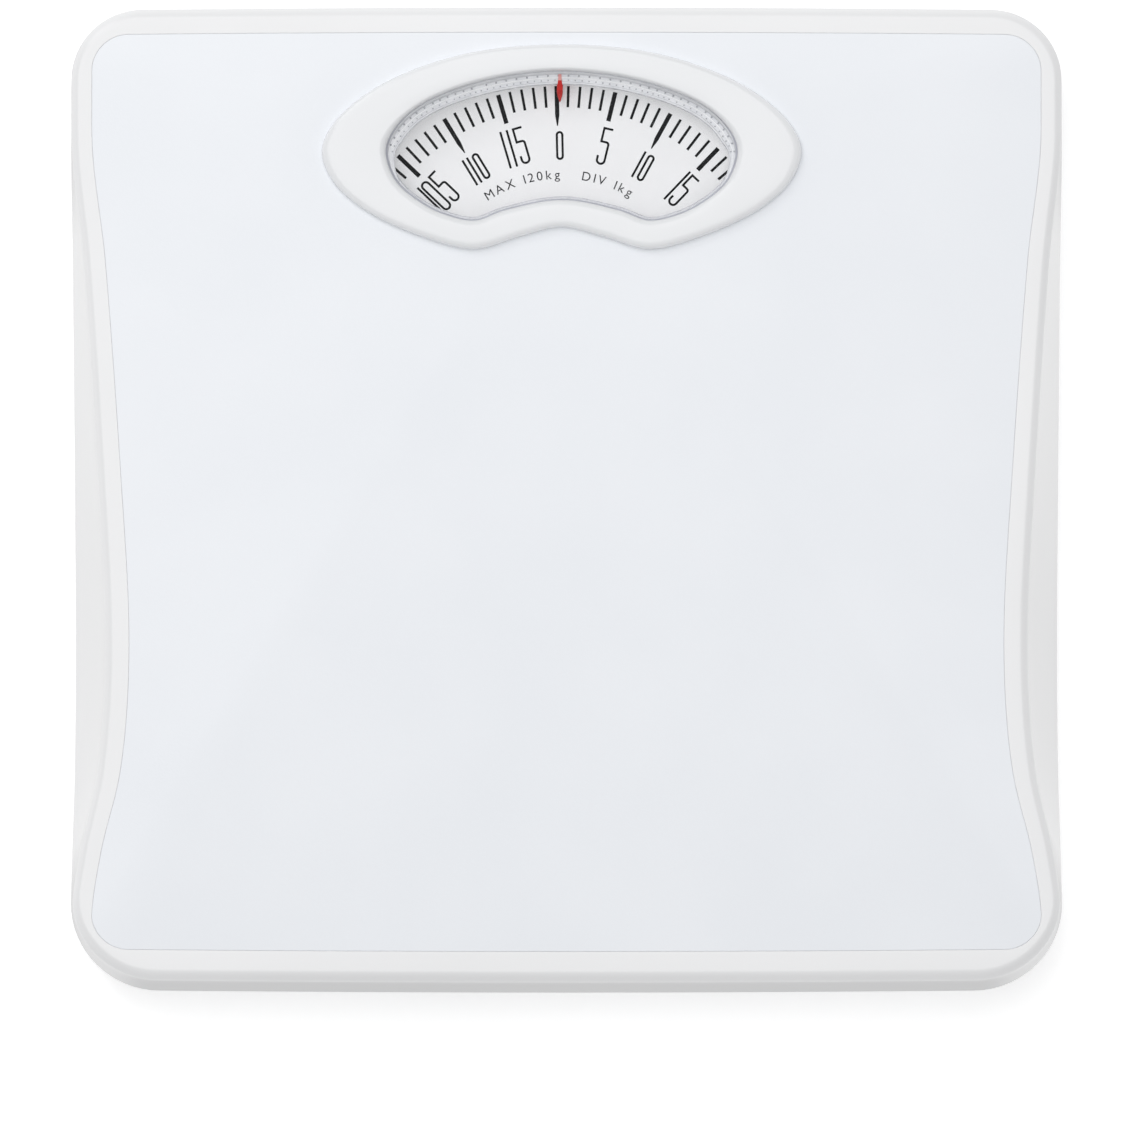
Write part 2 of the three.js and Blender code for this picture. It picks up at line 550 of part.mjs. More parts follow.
// Flat strip with teeth on its left edge; a gap between two teeth faces the pinion at rest.
function rack() {
  const pitchLine = DIAL_X + PINION_RADIUS;
  const flank = Math.tan(THREE.MathUtils.degToRad(20));
  const teeth = [];
  for (let k = -11; k <= 1; k++) {
    const y = DIAL_Y + (k + 0.5) * TOOTH_PITCH;
    const [root, tip] = [TOOTH_HALF + DEDENDUM * flank, TOOTH_HALF - ADDENDUM * flank];
    teeth.push([pitchLine + DEDENDUM, y - root], [pitchLine - ADDENDUM, y - tip],
      [pitchLine - ADDENDUM, y + tip], [pitchLine + DEDENDUM, y + root]);
  }
  const left = pitchLine + DEDENDUM;
  const outline = [[left, RACK.front], ...teeth, [left, RACK.rear], [RACK.right, RACK.rear],
    [RACK.right, RACK.front]];
  const heights = [RACK.bottom, RACK.bottom + RACK.thickness];
  const slotY = CRANK.y - RACK_TRAVEL / 2;
  const lugRun = [RACK_SPRING.front - BRACKET_SHEET, RACK_SPRING.front];
  const lug = box([RACK.right - 0.5, RACK_SPRING.x + 1], lugRun, heights);
  return cut(
    join(slab(outline, heights), lug),
    box([CRANK.x - 1.2, CRANK.x + 1.2], [slotY - 1.7, slotY + 1.7], [RACK.bottom - 1, RACK.bottom + 3]),
  );
}

function pinion() {
  const outline = [];
  for (let k = 0; k < PINION_TEETH; k++) {
    const middle = 2 * Math.PI * k / PINION_TEETH;
    const pitchAngle = TOOTH_HALF / PINION_RADIUS;
    const corners = [[PINION_RADIUS - DEDENDUM, -pitchAngle * 1.6], [PINION_RADIUS, -pitchAngle],
      [PINION_RADIUS + ADDENDUM, -pitchAngle * 0.4], [PINION_RADIUS + ADDENDUM, pitchAngle * 0.4],
      [PINION_RADIUS, pitchAngle], [PINION_RADIUS - DEDENDUM, pitchAngle * 1.6]];
    for (const [r, angle] of corners) {
      outline.push([DIAL_X + r * Math.cos(middle + angle), DIAL_Y + r * Math.sin(middle + angle)]);
    }
  }
  const heights = [RACK.bottom - 1.2, RACK.bottom + RACK.thickness + 1.2];
  return cut(slab(outline, heights), rod(PRESSED_BORE, [heights[0] - 1, heights[1] + 1], DIAL_X, DIAL_Y));
}

function dialHub() {
  const { radius, boss, flange, bottom } = HUB;
  const under = DIAL_BOTTOM - 1;
  const top = DIAL_TOP + 0.2;
  return turned([[PRESSED_BORE, bottom], [boss, bottom], [boss, under], [flange, under], [flange, DIAL_BOTTOM],
    [radius, DIAL_BOTTOM], [radius, top], [PRESSED_BORE, top], [PRESSED_BORE, bottom]], DIAL_X, DIAL_Y);
}

function dialDisc() {
  const hole = HUB.radius + 0.2;
  return turned([[hole, DIAL_BOTTOM], [DIAL_RADIUS, DIAL_BOTTOM], [DIAL_RADIUS, DIAL_TOP], [hole, DIAL_TOP],
    [hole, DIAL_BOTTOM]], DIAL_X, DIAL_Y, 72);
}

// ---- Zero adjustment ----------------------------------------------------------------------------------------

function zeroWheel() {
  const outline = steps(0, 2 * Math.PI, WHEEL.ridges * 2).slice(0, -1).map((angle, i) => {
    const radius = WHEEL.radius - (i % 2) * WHEEL.ridge;
    return [radius * Math.cos(angle), SPRING_Y + radius * Math.sin(angle)];
  });
  const top = WHEEL.bottom + WHEEL.height;
  const [inner, outer, floor] = [6.5, WHEEL.radius - 4, top - 2];
  const dish = turned([[inner + 0.5, floor], [outer - 0.5, floor], [outer, top + 1], [inner, top + 1],
    [inner + 0.5, floor]], 0, SPRING_Y, 36);
  const thread = rod(SCREW.radius + 0.2, [TOWER.top, top + 1], 0, SPRING_Y);
  return cut(slab(outline, [WHEEL.bottom, top]), dish, thread);
}

// Screw that the wheel's thread lifts and lowers, with the plug that the main spring's upper turns grip.
function adjusterScrew() {
  const { radius, bottom, shoulder, top } = SCREW;
  return turned([[0, bottom], [PLUG_RADIUS, bottom], [PLUG_RADIUS, shoulder], [radius, shoulder], [radius, top],
    [0, top]], 0, SPRING_Y);
}

// ---- Springs ------------------------------------------------------------------------------------------------

function mainSpring() {
  const { radius, wire, turns, top } = MAIN_SPRING;
  const bottom = PLATE_TOP + wire + 0.2;
  return spring({
    start: [0, SPRING_Y, bottom], axis: [0, 0, top - bottom], radius, wire, turns, sides: 6, stepsPerTurn: 12,
  });
}

function rackSpring() {
  const { x, front, rear } = RACK_SPRING;
  const end = 0.3;
  return spring({
    start: [x, front + end, RACK.bottom + RACK.thickness / 2], axis: [0, rear - front - 2 * end, 0],
    radius: 1, wire: 0.2, turns: 12, sides: 4, stepsPerTurn: 6,
  });
}

const retainingSpring = (sx, sy) => spring({
  start: [sx * RETAINER.x, sy * RETAINER.y, RETAINER.bottom], axis: [0, 0, RETAINER.top - RETAINER.bottom],
  radius: 2.2, wire: 0.4, turns: 6, sides: 4, stepsPerTurn: 8,
});

// ---- Assembly -----------------------------------------------------------------------------------------------

add('base_tray', baseTray(), WHITE_PAINT);
add('platform_cover', platformCover(), WHITE_PAINT);
add('platform_mat', platformMat(), MAT_VINYL);
add('platform_stiffener', platformStiffener(), ZINC);
add('dial_bezel', dialBezel(), BEZEL_PLASTIC);
add('window_lens', slab(windowRing(LENS_EDGE), [LENS.bottom, LENS.bottom + LENS.thickness]), CLEAR_PLASTIC);
add('zero_pointer', zeroPointer(), RED);

for (const [corner, sx, sy] of CORNERS) {
  add(`foot_${corner}`, foot(sx * FOOT.x, sy * FOOT.y), RUBBER);
  add(`fulcrum_post_${corner}`, fulcrumPost(sx, sy), ZINC);
  add(`stirrup_${corner}`, stirrup(sx, sy), ZINC);
  add(`retainer_anchor_${corner}`, retainerAnchor(sx, sy), ZINC);
  add(`retaining_spring_${corner}`, retainingSpring(sx, sy), SPRING_STEEL);
}

for (const [side, sx] of SIDES) {
  add(`long_lever_${side}`, longLever(sx), ZINC);
  add(`short_lever_${side}`, shortLever(sx), ZINC);
  add(`coupling_link_${side}`, couplingLink(sx), ZINC);
}

add('spring_tower', springTower(), ZINC);
add('main_spring', mainSpring(), SPRING_STEEL);
add('calibrating_plate', calibratingPlate(), ZINC);
add('lower_spring_plug', lowerPlug(), ZINC);
add('adjuster_screw', adjusterScrew(), BRASS);
add('zero_wheel', zeroWheel(), GREY_PLASTIC);

add('crank_bracket', crankBracket(), ZINC);
add('crank_pin', crossRod(PIN_RADIUS, [CRANK.x - 8.5, CRANK.x + 8.5], CRANK.y, CRANK.z), SPRING_STEEL);
add('bell_crank', bellCrank(), ZINC);
add('rack', rack(), BRASS);
add('rack_spring', rackSpring(), SPRING_STEEL);

add('dial_bridge', dialBridge(), ZINC);
add('bearing_bracket', bearingBracket(), ZINC);
add('lower_bearing', lowerBearing(), BRASS);
add('upper_bearing', upperBearing(), BRASS);
add('rack_guide', rackGuide(), ZINC);
add('spindle', rod(SPINDLE_RADIUS, [SPINDLE_FOOT, DIAL_TOP + 0.2], DIAL_X, DIAL_Y), SPRING_STEEL);
add('pinion', pinion(), BRASS);
add('dial_hub', dialHub(), BRASS);
add('dial_disc', dialDisc(), DIAL_PAINT);

export default part;
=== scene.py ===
"""Looks of the mechanical dial platform scale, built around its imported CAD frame.

Lengths are in millimetres until a mesh is made, in the CAD part's own frame: origin on the floor,
+X right, +Y towards the dial, +Z up."""

import json
import math

import bmesh
import bpy
import numpy as np
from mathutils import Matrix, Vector


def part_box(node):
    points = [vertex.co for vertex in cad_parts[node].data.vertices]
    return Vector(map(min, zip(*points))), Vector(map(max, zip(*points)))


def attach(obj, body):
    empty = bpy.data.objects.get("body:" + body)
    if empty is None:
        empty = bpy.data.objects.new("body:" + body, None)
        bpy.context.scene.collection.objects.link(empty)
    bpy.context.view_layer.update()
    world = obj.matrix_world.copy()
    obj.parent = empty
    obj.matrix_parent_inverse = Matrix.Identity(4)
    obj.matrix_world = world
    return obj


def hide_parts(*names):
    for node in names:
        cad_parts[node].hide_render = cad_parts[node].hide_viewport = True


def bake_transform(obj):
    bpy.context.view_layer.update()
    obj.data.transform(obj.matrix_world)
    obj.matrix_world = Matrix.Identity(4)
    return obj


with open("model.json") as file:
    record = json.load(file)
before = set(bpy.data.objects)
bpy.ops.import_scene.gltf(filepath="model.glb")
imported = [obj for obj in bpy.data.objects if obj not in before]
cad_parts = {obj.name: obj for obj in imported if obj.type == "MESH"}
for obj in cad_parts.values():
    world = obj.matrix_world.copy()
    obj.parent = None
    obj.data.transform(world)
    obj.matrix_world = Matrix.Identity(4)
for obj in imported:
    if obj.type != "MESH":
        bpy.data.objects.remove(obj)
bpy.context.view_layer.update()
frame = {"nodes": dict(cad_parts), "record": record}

MM = 0.001
TAU = 2 * math.pi


# ---- Sizes read from the frame -----------------------------------------------------------------------

def box_mm(node):
    low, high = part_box(node)
    return low / MM, high / MM


def centre_mm(node):
    low, high = box_mm(node)
    return (low + high) / 2


cover_low, cover_high = box_mm("platform_cover")
mat_low, mat_high = box_mm("platform_mat")
tray_low, tray_high = box_mm("base_tray")
bezel_low, bezel_high = box_mm("dial_bezel")
lens_high = box_mm("window_lens")[1]
dial_low, dial_high = box_mm("dial_disc")
wheel_low, wheel_high = box_mm("zero_wheel")
dial_centre = centre_mm("dial_disc")

HALF_WIDTH = cover_high.x
HALF_DEPTH = cover_high.y
PLATFORM_TOP = cover_high.z
SKIRT_BOTTOM = cover_low.z
SHEET = 0.8  # steel of the cover and of the base pan
END_CROWN = 0.8  # the front and rear edges stand out this much at their middle
SHOULDER_Z = PLATFORM_TOP - 3  # where the skirt starts to round into the top
DIAL_X = dial_centre.x
DIAL_Y = dial_centre.y
DIAL_TOP = dial_high.z


# ---- Meshes ------------------------------------------------------------------------------------------

SHARP = math.radians(38)


def piece(name, vertices, faces, material, body=None, slot=None, smooth=True, sharp=SHARP):
    """Mesh object from millimetre vertices, faces turned outwards, riding on a body."""
    mesh = bpy.data.meshes.new(name)
    mesh.from_pydata([Vector(v) * MM for v in vertices], [], faces)
    tidy = bmesh.new()
    tidy.from_mesh(mesh)
    bmesh.ops.recalc_face_normals(tidy, faces=tidy.faces)
    tidy.to_mesh(mesh)
    tidy.free()
    mesh.materials.append(material)
    mesh.polygons.foreach_set("use_smooth", [smooth] * len(mesh.polygons))
    if smooth:
        mesh.set_sharp_from_angle(angle=sharp)
    made = bpy.data.objects.new(name, mesh)
    bpy.context.scene.collection.objects.link(made)
    if body:
        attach(made, body)
    return made


def merged(parts):
    """One vertex and face list from several."""
    vertices, faces = [], []
    for some_vertices, some_faces in parts:
        first = len(vertices)
        vertices += [tuple(v) for v in some_vertices]
        faces += [tuple(first + i for i in face) for face in some_faces]
    return vertices, faces


def loft(rings, closed=False):
    """Quads between rings of equal length; closed joins the last ring to the first, else both are capped."""
    count = len(rings[0])
    vertices = [v for ring in rings for v in ring]
    faces = []
    for k in range(len(rings) - (0 if closed else 1)):
        low, high = k * count, ((k + 1) % len(rings)) * count
        for i in range(count):
            j = (i + 1) % count
            faces.append((low + i, low + j, high + j, high + i))
    if not closed:
        faces.append(tuple(reversed(range(count))))
        faces.append(tuple(range(len(vertices) - count, len(vertices))))
    return vertices, faces


def lathe(profile, centre, segments):
    """Turned solid, axis vertical: profile of (radius, height), its ends on the axis or on each other."""
    closed = profile[0] == profile[-1]
    points = profile[:-1] if closed else profile
    vertices, faces, rows = [], [], []
    for radius, height in points:
        if radius == 0:
            rows.append([len(vertices)] * segments)
            vertices.append((0, 0, height))
        else:
            rows.append(list(range(len(vertices), len(vertices) + segments)))
            turns = [TAU * i / segments for i in range(segments)]
            vertices += [(radius * math.cos(turn), radius * math.sin(turn), height) for turn in turns]
    for k in range(len(rows) - (0 if closed else 1)):
        low, high = rows[k], rows[(k + 1) % len(rows)]
        for i in range(segments):
            j = (i + 1) % segments
            corners = []
            for corner in (low[i], low[j], high[j], high[i]):
                if corner not in corners:
                    corners.append(corner)
            faces.append(tuple(corners))
    cx, cy, cz = centre
    return [(x + cx, y + cy, z + cz) for x, y, z in vertices], faces


def sweep(path, radius, sides=12):
    """Round wire along a list of points, with flat ends."""
    points = [Vector(p) for p in path]
    normal = None
    rings = []
    for i, point in enumerate(points):
        ahead = points[min(i + 1, len(points) - 1)]
        behind = points[max(i - 1, 0)]
        tangent = (ahead - behind).normalized()
        if normal is None:
            normal = tangent.orthogonal().normalized()
        normal = (normal - tangent * normal.dot(tangent)).normalized()
        across = tangent.cross(normal)
        rings.append([tuple(point + radius * (math.cos(TAU * s / sides) * normal
                                              + math.sin(TAU * s / sides) * across)) for s in range(sides)])
    return loft(rings)


# ---- Outlines of the shell and the window ------------------------------------------------------------

# Stations of the waist: y, share of the full pinch, slope.
WAIST = [(100, 0, 0), (64, 0.36, -0.0085), (-4, 0.84, -0.0065), (-40, 1, 0), (-76, 0.76, 0.0155),
         (-98, 0.25, 0.018), (-118, 0, 0)]

# Levels of the shell: inset of the sides, their pinch, insets of the ends, corner radii.
SKIRT = np.array([0, 1.4, 0, 0, 24, 19.5])
SHOULDER = np.array([0.4, 9.2, 0.3, 0, 23.5, 19.2])
RIM = np.array([2.6, 9.4, 3.4, 3.1, 21, 16.5])
MAT = np.array([6, 10.2, 8.6, 7, 10, 10])
TRAY = np.array([5, 3, 5, 5, 19, 15])
INSET = np.array([1, 0, 1, 1, -1, -1])


def waist_share(y):
    """Share of the full pinch at y: a smooth curve through the stations."""
    for (y0, v0, s0), (y1, v1, s1) in zip(WAIST, WAIST[1:]):
        if y1 <= y <= y0:
            span = y1 - y0
            t = (y - y0) / span
            return (v0 * (1 + 2 * t) * (1 - t) ** 2 + v1 * t * t * (3 - 2 * t)
                    + span * (s0 * t * (1 - t) ** 2 + s1 * t * t * (t - 1)))
    return 0


def plan_outline(level):
    """Rounded rectangle with pinched sides and crowned ends, counter-clockwise from the front's middle."""
    corner_steps, side_steps, end_steps = 16, 72, 14
    side, pinch, front_inset, rear_inset, front_radius, rear_radius = (float(v) for v in level)
    width = HALF_WIDTH - side
    front, rear = front_inset - HALF_DEPTH, HALF_DEPTH - rear_inset

    def arc(y, radius, start):
        angles = np.linspace(start, start + math.pi / 2, corner_steps + 1)
        return [(width - radius + radius * math.cos(a), y + radius * math.sin(a)) for a in angles]

    half = [(x, front) for x in np.linspace(0, width - front_radius, end_steps + 1)[:-1]]
    half += arc(front + front_radius, front_radius, -math.pi / 2)
    half += [(width, y) for y in np.linspace(front + front_radius, rear - rear_radius, side_steps + 1)[1:-1]]
    half += arc(rear - rear_radius, rear_radius, 0)
    half += [(x, rear) for x in np.linspace(width - rear_radius, 0, end_steps + 1)[1:]]
    bent = []
    for x, y in half:
        across = x / width
        crown = END_CROWN * across ** 2 * (y / HALF_DEPTH) ** 3
        bent.append((x - across * pinch * waist_share(y), y - crown))
    return bent + [(-x, y) for x, y in reversed(bent[1:-1])]


def at_height(outline, z):
    return [(x, y, z) for x, y in outline]


# Right halves of the bezel's and the window's outlines, rear to front, from the dial's centre line.
BEZEL_OUTLINE = [(0, 122.6), (27, 119.9), (49.7, 111.3), (61.9, 101.3), (65.2, 93.7), (62.5, 85.7),
                 (54.3, 78), (39.5, 70.8), (23.8, 66.8), (11.4, 70.2), (0, 72.8)]
WINDOW_OUTLINE = [(0, 115.5), (22.5, 112.5), (39, 105.8), (46, 98.8), (47.8, 93.4), (45, 85.3),
                  (37.5, 79), (31, 76), (23.6, 74.6), (15.8, 77.3), (0, 80.2)]
WINDOW_MIDDLE = Vector((DIAL_X, 93))


def centripetal(points, steps):
    """Closed centripetal Catmull-Rom curve through points."""
    points = [Vector((x, y, 0)) for x, y in points]
    count = len(points)
    out = []
    for i in range(count):
        p0, p1, p2, p3 = (points[(i + k - 1) % count] for k in range(4))
        d0, d1, d2 = ((b - a).length ** 0.5 for a, b in ((p0, p1), (p1, p2), (p2, p3)))
        m1 = ((p1 - p0) / d0 - (p2 - p0) / (d0 + d1) + (p2 - p1) / d1) * d1
        m2 = ((p2 - p1) / d1 - (p3 - p1) / (d1 + d2) + (p3 - p2) / d2) * d1
        for k in range(steps):
            t = k / steps
            p = (p1 * (1 + 2 * t) * (1 - t) ** 2 + p2 * t * t * (3 - 2 * t)
                 + m1 * t * (1 - t) ** 2 + m2 * t * t * (t - 1))
            out.append((p.x, p.y))
    return out


def window_ring(share, steps=12):
    """Outline between the bezel's outer edge (share 0) and the window (share 1)."""
    right = [(bx + (wx - bx) * share, by + (wy - by) * share)
             for (bx, by), (wx, wy) in zip(BEZEL_OUTLINE, WINDOW_OUTLINE)]
    both = right + [(-x, y) for x, y in reversed(right[1:-1])]
    return centripetal([(x + DIAL_X, y) for x, y in reversed(both)], steps)


def hole_facing(outline, share):
    """Points of a window ring in the directions of an outline's points, seen from the window's middle."""
    ring = np.array(window_ring(share)) - np.array(WINDOW_MIDDLE)
    angles = np.unwrap(np.arctan2(ring[:, 1], ring[:, 0]))
    radii = np.hypot(ring[:, 0], ring[:, 1])
    if angles[-1] < angles[0]:
        angles, radii = angles[::-1], radii[::-1]
    base = angles[0]
    angles = np.append(angles, base + TAU)
    radii = np.append(radii, radii[0])
    facing = []
    for x, y in outline:
        angle = math.atan2(y - WINDOW_MIDDLE.y, x - WINDOW_MIDDLE.x)
        angle = base + (angle - base) % TAU
        radius = np.interp(angle, angles, radii)
        facing.append((WINDOW_MIDDLE.x + radius * math.cos(angle),
                       WINDOW_MIDDLE.y + radius * math.sin(angle)))
    return facing


# ---- Materials ---------------------------------------------------------------------------------------

def new_material(name):
    made = bpy.data.materials.new(name)
    made.use_nodes = True
    nodes = made.node_tree.nodes
    return made, nodes, made.node_tree.links, nodes["Principled BSDF"]


def noise(nodes, links, scale, detail=3.0, stretch=(1, 1, 1), kind="ShaderNodeTexNoise"):
    """Noise in the part's own frame, scale in cycles per metre."""
    place = nodes.new("ShaderNodeTexCoord")
    mapping = nodes.new("ShaderNodeMapping")
    mapping.inputs["Scale"].default_value = stretch
    texture = nodes.new(kind)
    texture.inputs["Scale"].default_value = scale
    if kind == "ShaderNodeTexNoise":
        texture.inputs["Detail"].default_value = detail
    links.new(place.outputs["Object"], mapping.inputs["Vector"])
    links.new(mapping.outputs["Vector"], texture.inputs["Vector"])
    return texture


def tones(nodes, links, factor, low, high):
    """Colour between two tones, steeper than the factor so that both tones show."""
    ramp = nodes.new("ShaderNodeValToRGB")
    ramp.color_ramp.elements[0].position = 0.3
    ramp.color_ramp.elements[1].position = 0.7
    ramp.color_ramp.elements[0].color = (*low, 1)
    ramp.color_ramp.elements[1].color = (*high, 1)
    links.new(factor, ramp.inputs["Fac"])
    return ramp.outputs["Color"]


def spread(nodes, links, factor, low, high):
    """Factor 0..1 spread over low..high, for roughness."""
    mapped = nodes.new("ShaderNodeMapRange")
    mapped.inputs["To Min"].default_value = low
    mapped.inputs["To Max"].default_value = high
    links.new(factor, mapped.inputs["Value"])
    return mapped.outputs["Result"]


def bumped(nodes, links, shader, layers):
    """Bumps from (height output, strength, distance in metres) layers, one on another."""
    normal = None
    for height, strength, distance in layers:
        bump = nodes.new("ShaderNodeBump")
        bump.inputs["Strength"].default_value = strength
        bump.inputs["Distance"].default_value = distance
        links.new(height, bump.inputs["Height"])
        if normal:
            links.new(normal, bump.inputs["Normal"])
        normal = bump.outputs["Normal"]
    links.new(normal, shader.inputs["Normal"])


def finish(name, low, high, rough, metallic=0.0, tone_scale=40, grain=(900, 0.1, 2e-5), stretch=(1, 1, 1),
           coarse=None, coat=0.0, specular=0.5, tone_kind="ShaderNodeTexNoise"):
    """Colour that wanders between two tones, roughness between two values, and one or two layers of bump."""
    made, nodes, links, shader = new_material(name)
    tone = noise(nodes, links, tone_scale, stretch=stretch, kind=tone_kind)
    factor = tone.outputs["Fac"] if tone_kind == "ShaderNodeTexNoise" else tone.outputs["Distance"]
    fine = noise(nodes, links, grain[0], stretch=stretch)
    links.new(tones(nodes, links, factor, low, high), shader.inputs["Base Color"])
    links.new(spread(nodes, links, fine.outputs["Fac"], *rough), shader.inputs["Roughness"])
    layers = [(fine.outputs["Fac"], grain[1], grain[2])]
    if coarse:
        wide = noise(nodes, links, coarse[0], detail=1.0)
        layers.append((wide.outputs["Fac"], coarse[1], coarse[2]))
    bumped(nodes, links, shader, layers)
    shader.inputs["Metallic"].default_value = metallic
    shader.inputs["Coat Weight"].default_value = coat
    shader.inputs["Specular IOR Level"].default_value = specular
    return made


def vinyl_material():
    """Bluish white calendered vinyl: leathery cells about half a millimetre across over a faint cloud."""
    made, nodes, links, shader = new_material("vinyl_mat")
    cloud = noise(nodes, links, 22)
    cells = noise(nodes, links, 1900, kind="ShaderNodeTexVoronoi")
    fine = noise(nodes, links, 4200)
    links.new(tones(nodes, links, cloud.outputs["Fac"], (0.862, 0.886, 0.925), (0.886, 0.908, 0.945)),
              shader.inputs["Base Color"])
    links.new(spread(nodes, links, fine.outputs["Fac"], 0.5, 0.72), shader.inputs["Roughness"])
    relief = [(cells.outputs["Distance"], 0.28, 6e-5), (fine.outputs["Fac"], 0.12, 2e-5)]
    bumped(nodes, links, shader, relief)
    shader.inputs["Specular IOR Level"].default_value = 0.35
    return made


def clear_material():
    """Clear moulded acrylic: see-through, with a faint cool tint and a few flow marks."""
    made, nodes, links, shader = new_material("clear_plastic")
    flow = noise(nodes, links, 60, stretch=(1, 0.3, 1))
    links.new(tones(nodes, links, flow.outputs["Fac"], (0.80, 0.84, 0.87), (0.9, 0.93, 0.95)),
              shader.inputs["Base Color"])
    links.new(spread(nodes, links, flow.outputs["Fac"], 0.04, 0.12), shader.inputs["Roughness"])
    bumped(nodes, links, shader, [(flow.outputs["Fac"], 0.05, 5e-5)])
    shader.inputs["Alpha"].default_value = 0.008
    made.surface_render_method = "BLENDED"
    return made


ENAMEL = finish("white_enamel", (0.805, 0.808, 0.817), (0.83, 0.833, 0.842), (0.26, 0.36), tone_scale=14,
                grain=(1300, 0.05, 2e-5), coarse=(240, 0.04, 6e-5), coat=0.25)
TRAY_ENAMEL = finish("tray_enamel", (0.80, 0.81, 0.825), (0.86, 0.868, 0.88), (0.3, 0.45), tone_scale=18,
                     grain=(1100, 0.07, 2e-5), coarse=(180, 0.05, 8e-5), coat=0.15)
VINYL = vinyl_material()
BEZEL = finish("white_plastic", (0.78, 0.79, 0.807), (0.80, 0.81, 0.827), (0.2, 0.3), tone_scale=30,
               grain=(2400, 0.02, 1e-5), coat=0.3)
CLEAR = clear_material()
DIAL_FACE = finish("dial_face", (0.915, 0.918, 0.935), (0.94, 0.943, 0.96), (0.5, 0.65), tone_scale=60,
                   grain=(3000, 0.06, 1e-5))
INK = finish("dial_ink", (0.002, 0.002, 0.003), (0.007, 0.007, 0.009), (0.5, 0.7), tone_scale=700,
             grain=(3500, 0.1, 1e-5), specular=0.06)
GREY_INK = finish("grey_ink", (0.012, 0.012, 0.015), (0.03, 0.03, 0.035), (0.4, 0.6), tone_scale=900,
                  grain=(3500, 0.1, 1e-5), specular=0.1)
RED = finish("red_plastic", (0.50, 0.012, 0.01), (0.60, 0.02, 0.015), (0.4, 0.55), tone_scale=500,
             grain=(2500, 0.05, 1e-5), specular=0.2)
PALE_RED = finish("pale_red_plastic", (0.66, 0.24, 0.22), (0.72, 0.32, 0.30), (0.3, 0.45), tone_scale=500,
                  grain=(2500, 0.05, 1e-5))
RUBBER = finish("foot_rubber", (0.20, 0.205, 0.21), (0.27, 0.275, 0.28), (0.65, 0.85), tone_scale=90,
                grain=(1600, 0.3, 5e-5))
GREY_PLASTIC = finish("grey_plastic", (0.13, 0.135, 0.14), (0.17, 0.175, 0.185), (0.4, 0.55), tone_scale=80,
                      grain=(2200, 0.2, 3e-5))
ZINC = finish("zinc_steel", (0.48, 0.50, 0.53), (0.62, 0.63, 0.65), (0.3, 0.5), metallic=1.0, tone_scale=260,
              grain=(900, 0.12, 2e-5), stretch=(1, 4, 1), tone_kind="ShaderNodeTexVoronoi")
SPRING_STEEL = finish("spring_steel", (0.30, 0.31, 0.33), (0.45, 0.46, 0.48), (0.22, 0.38), metallic=1.0,
                      tone_scale=300, grain=(2600, 0.15, 1e-5))
BRASS = finish("brass", (0.62, 0.42, 0.16), (0.74, 0.53, 0.23), (0.25, 0.4), metallic=1.0, tone_scale=200,
               grain=(2000, 0.1, 1e-5), stretch=(1, 1, 6))
LENS_BAND = finish("lens_band", (0.62, 0.635, 0.67), (0.75, 0.76, 0.79), (0.15, 0.35), tone_scale=260,
                   grain=(1500, 0.1, 2e-5), coat=0.4)
# Painted shade: grey tones of the strips along the lens's edge, darkest nearest the bezel.
PAINTED_SHADE_TONES = [(0.42, 0.43, 0.49), (0.50, 0.51, 0.57), (0.64, 0.65, 0.70)]
LENS_SHADE_STRIPS = [finish(f"lens_shade_strip_{k}", tone, tuple(v * 1.08 for v in tone), (0.2, 0.4), tone_scale=260,
                     grain=(1500, 0.1, 2e-5), coat=0.3)
              for k, tone in enumerate(PAINTED_SHADE_TONES)]
# Paler tone of the thin rib along the band's middle: a painted highlight on a real raised rib.
LENS_HIGHLIGHT_RIB = finish("lens_highlight_rib", (0.78, 0.79, 0.81), (0.86, 0.87, 0.89), (0.15, 0.3), tone_scale=400,
                  grain=(1500, 0.1, 2e-5), coat=0.4)
LENS_DOTS = finish("lens_dots", (0.28, 0.29, 0.32), (0.42, 0.44, 0.47), (0.2, 0.4), tone_scale=500,
                   grain=(1500, 0.1, 2e-5))
FLOOR = finish("studio_floor", (0.93, 0.93, 0.93), (0.95, 0.95, 0.95), (0.7, 0.8), tone_scale=6,
               grain=(300, 0.01, 1e-5), specular=0.1)
FLOOR_GLOW = FLOOR.node_tree.nodes["Principled BSDF"]
FLOOR_GLOW.inputs["Emission Color"].default_value = (1, 1, 1, 1)
FLOOR_GLOW.inputs["Emission Strength"].default_value = 0.42

SLOT_MATERIALS = {
    "white_enamel": ENAMEL, "vinyl_mat": VINYL, "white_plastic": BEZEL, "clear_plastic": CLEAR,
    "red_plastic": RED, "foot_rubber": RUBBER, "dial_face": DIAL_FACE, "grey_plastic": GREY_PLASTIC,
    "spring_steel": SPRING_STEEL, "brass": BRASS, "zinc_steel": ZINC,
}


# ---- Platform shell, mat and tray --------------------------------------------------------------------

MAT_HOLE = 0.25  # shares of the way from the bezel's edge to the window, as in the CAD part
PLATFORM_HOLE = 0.7
RECESS = mat_low.z
UNDERSIDE = RECESS - SHEET
TRAY_BEADS = (24, 50)  # insets of the stiffening beads in the pan's floor
BEAD_SECTION = ((-2.4, 0), (-1.4, 0.35), (0, 0.5), (1.4, 0.35), (2.4, 0))  # across a bead, and its depth


def mixed(a, b, t):
    """Value a share t of the way from a to b."""
    return a + (b - a) * t


def turned_in(levels, z_start, z_end, steps):
    """Quarter round from the first level at z_start to the second at z_end."""
    out = []
    for k in range(steps + 1):
        turn = math.pi / 2 * k / steps
        out.append((mixed(*levels, 1 - math.cos(turn)), z_start + (z_end - z_start) * math.sin(turn)))
    return out


